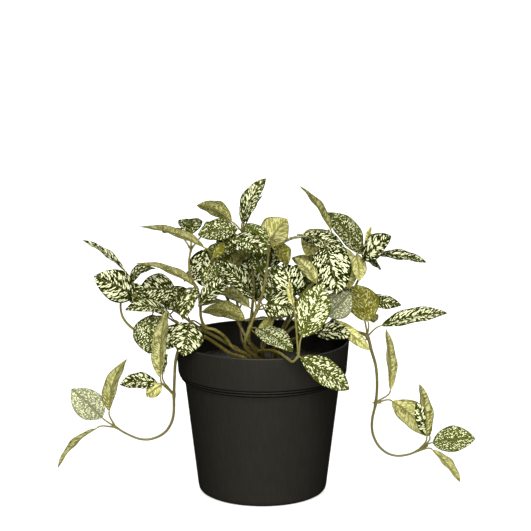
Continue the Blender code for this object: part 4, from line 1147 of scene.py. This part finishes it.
def add_buds(skeleton, node, along, chance):
    """The pointed young buds that sit in the axils of a whorl."""
    for _ in range(BUDS):
        lean = Vector((chance.uniform(-1, 1), chance.uniform(-1, 1), chance.uniform(-0.4, 1)))
        way = (lean.normalized() + along * BUD_FORWARD).normalized()
        length = chance.uniform(BUD_SHORTEST, BUD_LONGEST)
        path = [node + way * (length * i / BUD_STEPS) for i in range(BUD_STEPS + 1)]
        radii = [BUD_RADIUS * (1 - BUD_TAPER * (i / BUD_STEPS) ** 1.5) for i in range(BUD_STEPS + 1)]
        skeleton.add_tube(path, radii, [BUD_YOUTH] * len(path))


def add_leaf(skeleton, node, blade, pattern, chance):
    """A petiole that runs on under the blade as its midrib, and the blade's own point."""
    path = list(petiole_points(node, blade))
    wider = PETIOLE_FOOT_RADIUS - PETIOLE_RADIUS
    radii = [PETIOLE_RADIUS + wider * (1 - i / len(path)) ** 3 for i in range(len(path))]
    seed = chance.random()
    sickle = (seed - 0.5) * 2 * BLADE_SICKLE * blade.chord.length
    for i in range(MIDRIB_STEPS + 1):
        t = MIDRIB_END * i / MIDRIB_STEPS
        narrower = (MIDRIB_TIP_RADIUS - MIDRIB_FOOT_RADIUS) * (i / MIDRIB_STEPS) ** MIDRIB_TAPER
        radius = MIDRIB_FOOT_RADIUS + narrower
        sunk = min(1.0, i / MIDRIB_SINKS_OVER)
        drop = sunk * (BLADE_THICKNESS - radius * MIDRIB_SHOWS)
        path.append(blade.midrib(t, drop) + blade.side * sickle * 4 * t * (1 - t))
        radii.append(radius)
    youth = [min(1.0, PETIOLE_YOUTH + i / len(path)) for i in range(len(path))]
    skeleton.add_tube(path, radii, youth)
    width, stretch, cover, blots, tone, silver, pale = PATTERNS[pattern]
    tone += chance.uniform(-TONE_STRAYS, TONE_STRAYS)
    cover += chance.uniform(-COVER_STRAYS, COVER_STRAYS)
    skeleton.add_point(
        blade.base, foot=blade.base * MM, chord=blade.chord * MM, side=blade.side, up=blade.up,
        half=blade.half * MM, arch=blade.arch * MM, leaf_seed=seed, leaf_tone=tone,
        fleck_width=width, fleck_stretch=stretch, fleck_cover=cover, blot_cover=blots, silver=silver,
        under_pale=pale,
    )


def leafy_stem(name, plan, grower, chance, materials):
    """One leafy stem, from the bottom of its hole in the compost to its last leaves."""
    x, y = plan["root"]
    route = [Vector((x, y, STEM_CLEAR_Z)), *[from_drawing(*place) for place in plan["route"]]]
    points, places = smooth_points(route, STEM_STEP, Vector((0, 0, STEM_RISE)), STEM_FINE_STEPS)
    nodes = [points[place] for place in places[1:]]
    path = [Vector((x, y, STEM_BOTTOM_Z)), *points]
    whorls = [nodes[leaf[0]] for leaf in plan["leaves"]]
    radii, youth = [], []
    for i, point in enumerate(path):
        share = i / (len(path) - 1)
        near = min((point - node).length for node in whorls)
        swelling = NODE_SWELLING * math.exp(-(near / NODE_LENGTH) ** 2)
        radii.append(STEM_RADIUS_FOOT + (STEM_RADIUS_TIP - STEM_RADIUS_FOOT) * share + swelling)
        youth.append(STEM_YOUTH * share ** 1.5)
    skeleton = Skeleton()
    skeleton.add_tube(path, radii, youth)
    budded = None
    for where, base, tip, face, width, arch, pattern in plan["leaves"]:
        if where != budded:
            before = points[places[where + 1] - 1]
            add_buds(skeleton, nodes[where], (nodes[where] - before).normalized(), chance)
            budded = where
        blade = Blade(from_drawing(*base), from_drawing(*tip), face, width, arch)
        add_leaf(skeleton, nodes[where], blade, pattern, chance)
    piece = add_piece("foliage_" + name, skeleton.mesh("foliage " + name))
    piece.data = grower.grow(
        piece, thickness=BLADE_THICKNESS * MM, fold=BLADE_FOLD, bulge=BLADE_BULGE, quilt=BLADE_QUILT * MM,
        wave=BLADE_WAVE * MM, sickle=BLADE_SICKLE, steps_along=BLADE_ALONG, steps_across=BLADE_ACROSS,
        tube_sides=TUBE_SIDES, **materials,
    )
    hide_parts("leafy_stem_" + name)
    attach(piece, "root")


grower = leafy_stem_grower()
chance = random.Random(STEM_SEED)
finishes = {"stem": stem_finish(), "upper_side": leaf_upper_finish(), "under_side": leaf_under_finish()}
for name, plan in STEMS.items():
    leafy_stem(name, plan, grower, chance, finishes)


# The table and the light
# The plant stands on a plain white table that runs on out of view. A very large soft light shines on it from
# in front and above, a weaker one from behind, and the white room fills its shadows.

TABLE_SIZE = 40.0
TABLE_PALE = (0.42, 0.42, 0.41, 1.0)
TABLE_WHITE = (0.97, 0.97, 0.97, 1.0)
TABLE_GLOW = 0.58
TABLE_ROUGHNESS = 0.6
ROOM_WHITE = (1.0, 0.99, 0.95, 1.0)
ROOM_STRENGTH = 0.15
KEY_STRENGTH = 7.4
KEY_HEIGHT = math.radians(33)
KEY_LEFT = math.radians(1)
BACK_STRENGTH = 2.4
BACK_HEIGHT = math.radians(40)
LIGHT_SOFTNESS = math.radians(40)


def table_finish():
    made = Finish("white table")
    made.set({
        "Base Color": TABLE_PALE,
        "Roughness": TABLE_ROUGHNESS + made.noise(made.place(), 3.0) * 0.1,
        "Emission Color": TABLE_WHITE,
        "Emission Strength": TABLE_GLOW,
    })
    return made.material


def add_table():
    half = TABLE_SIZE / 2
    corners = [(-half, -half, 0.0), (half, -half, 0.0), (half, half, 0.0), (-half, half, 0.0)]
    mesh = bpy.data.meshes.new("table")
    mesh.from_pydata(corners, [], [(0, 1, 2, 3)])
    add_piece("table", mesh, table_finish())


def add_light(name, strength, height, turn):
    light = bpy.data.lights.new(name, "SUN")
    light.energy = strength
    light.angle = LIGHT_SOFTNESS
    lamp = bpy.data.objects.new(name, light)
    lamp.rotation_euler = (math.pi / 2 - height, 0.0, turn)
    scene.collection.objects.link(lamp)


add_table()
add_light("key light", KEY_STRENGTH, KEY_HEIGHT, -KEY_LEFT)
add_light("back light", BACK_STRENGTH, BACK_HEIGHT, math.pi)
sky = bpy.data.worlds.new("white room")
sky.use_nodes = True
background = sky.node_tree.nodes["Background"]
background.inputs["Color"].default_value = ROOM_WHITE
background.inputs["Strength"].default_value = ROOM_STRENGTH
scene.world = sky
scene.view_settings.view_transform = "Standard"
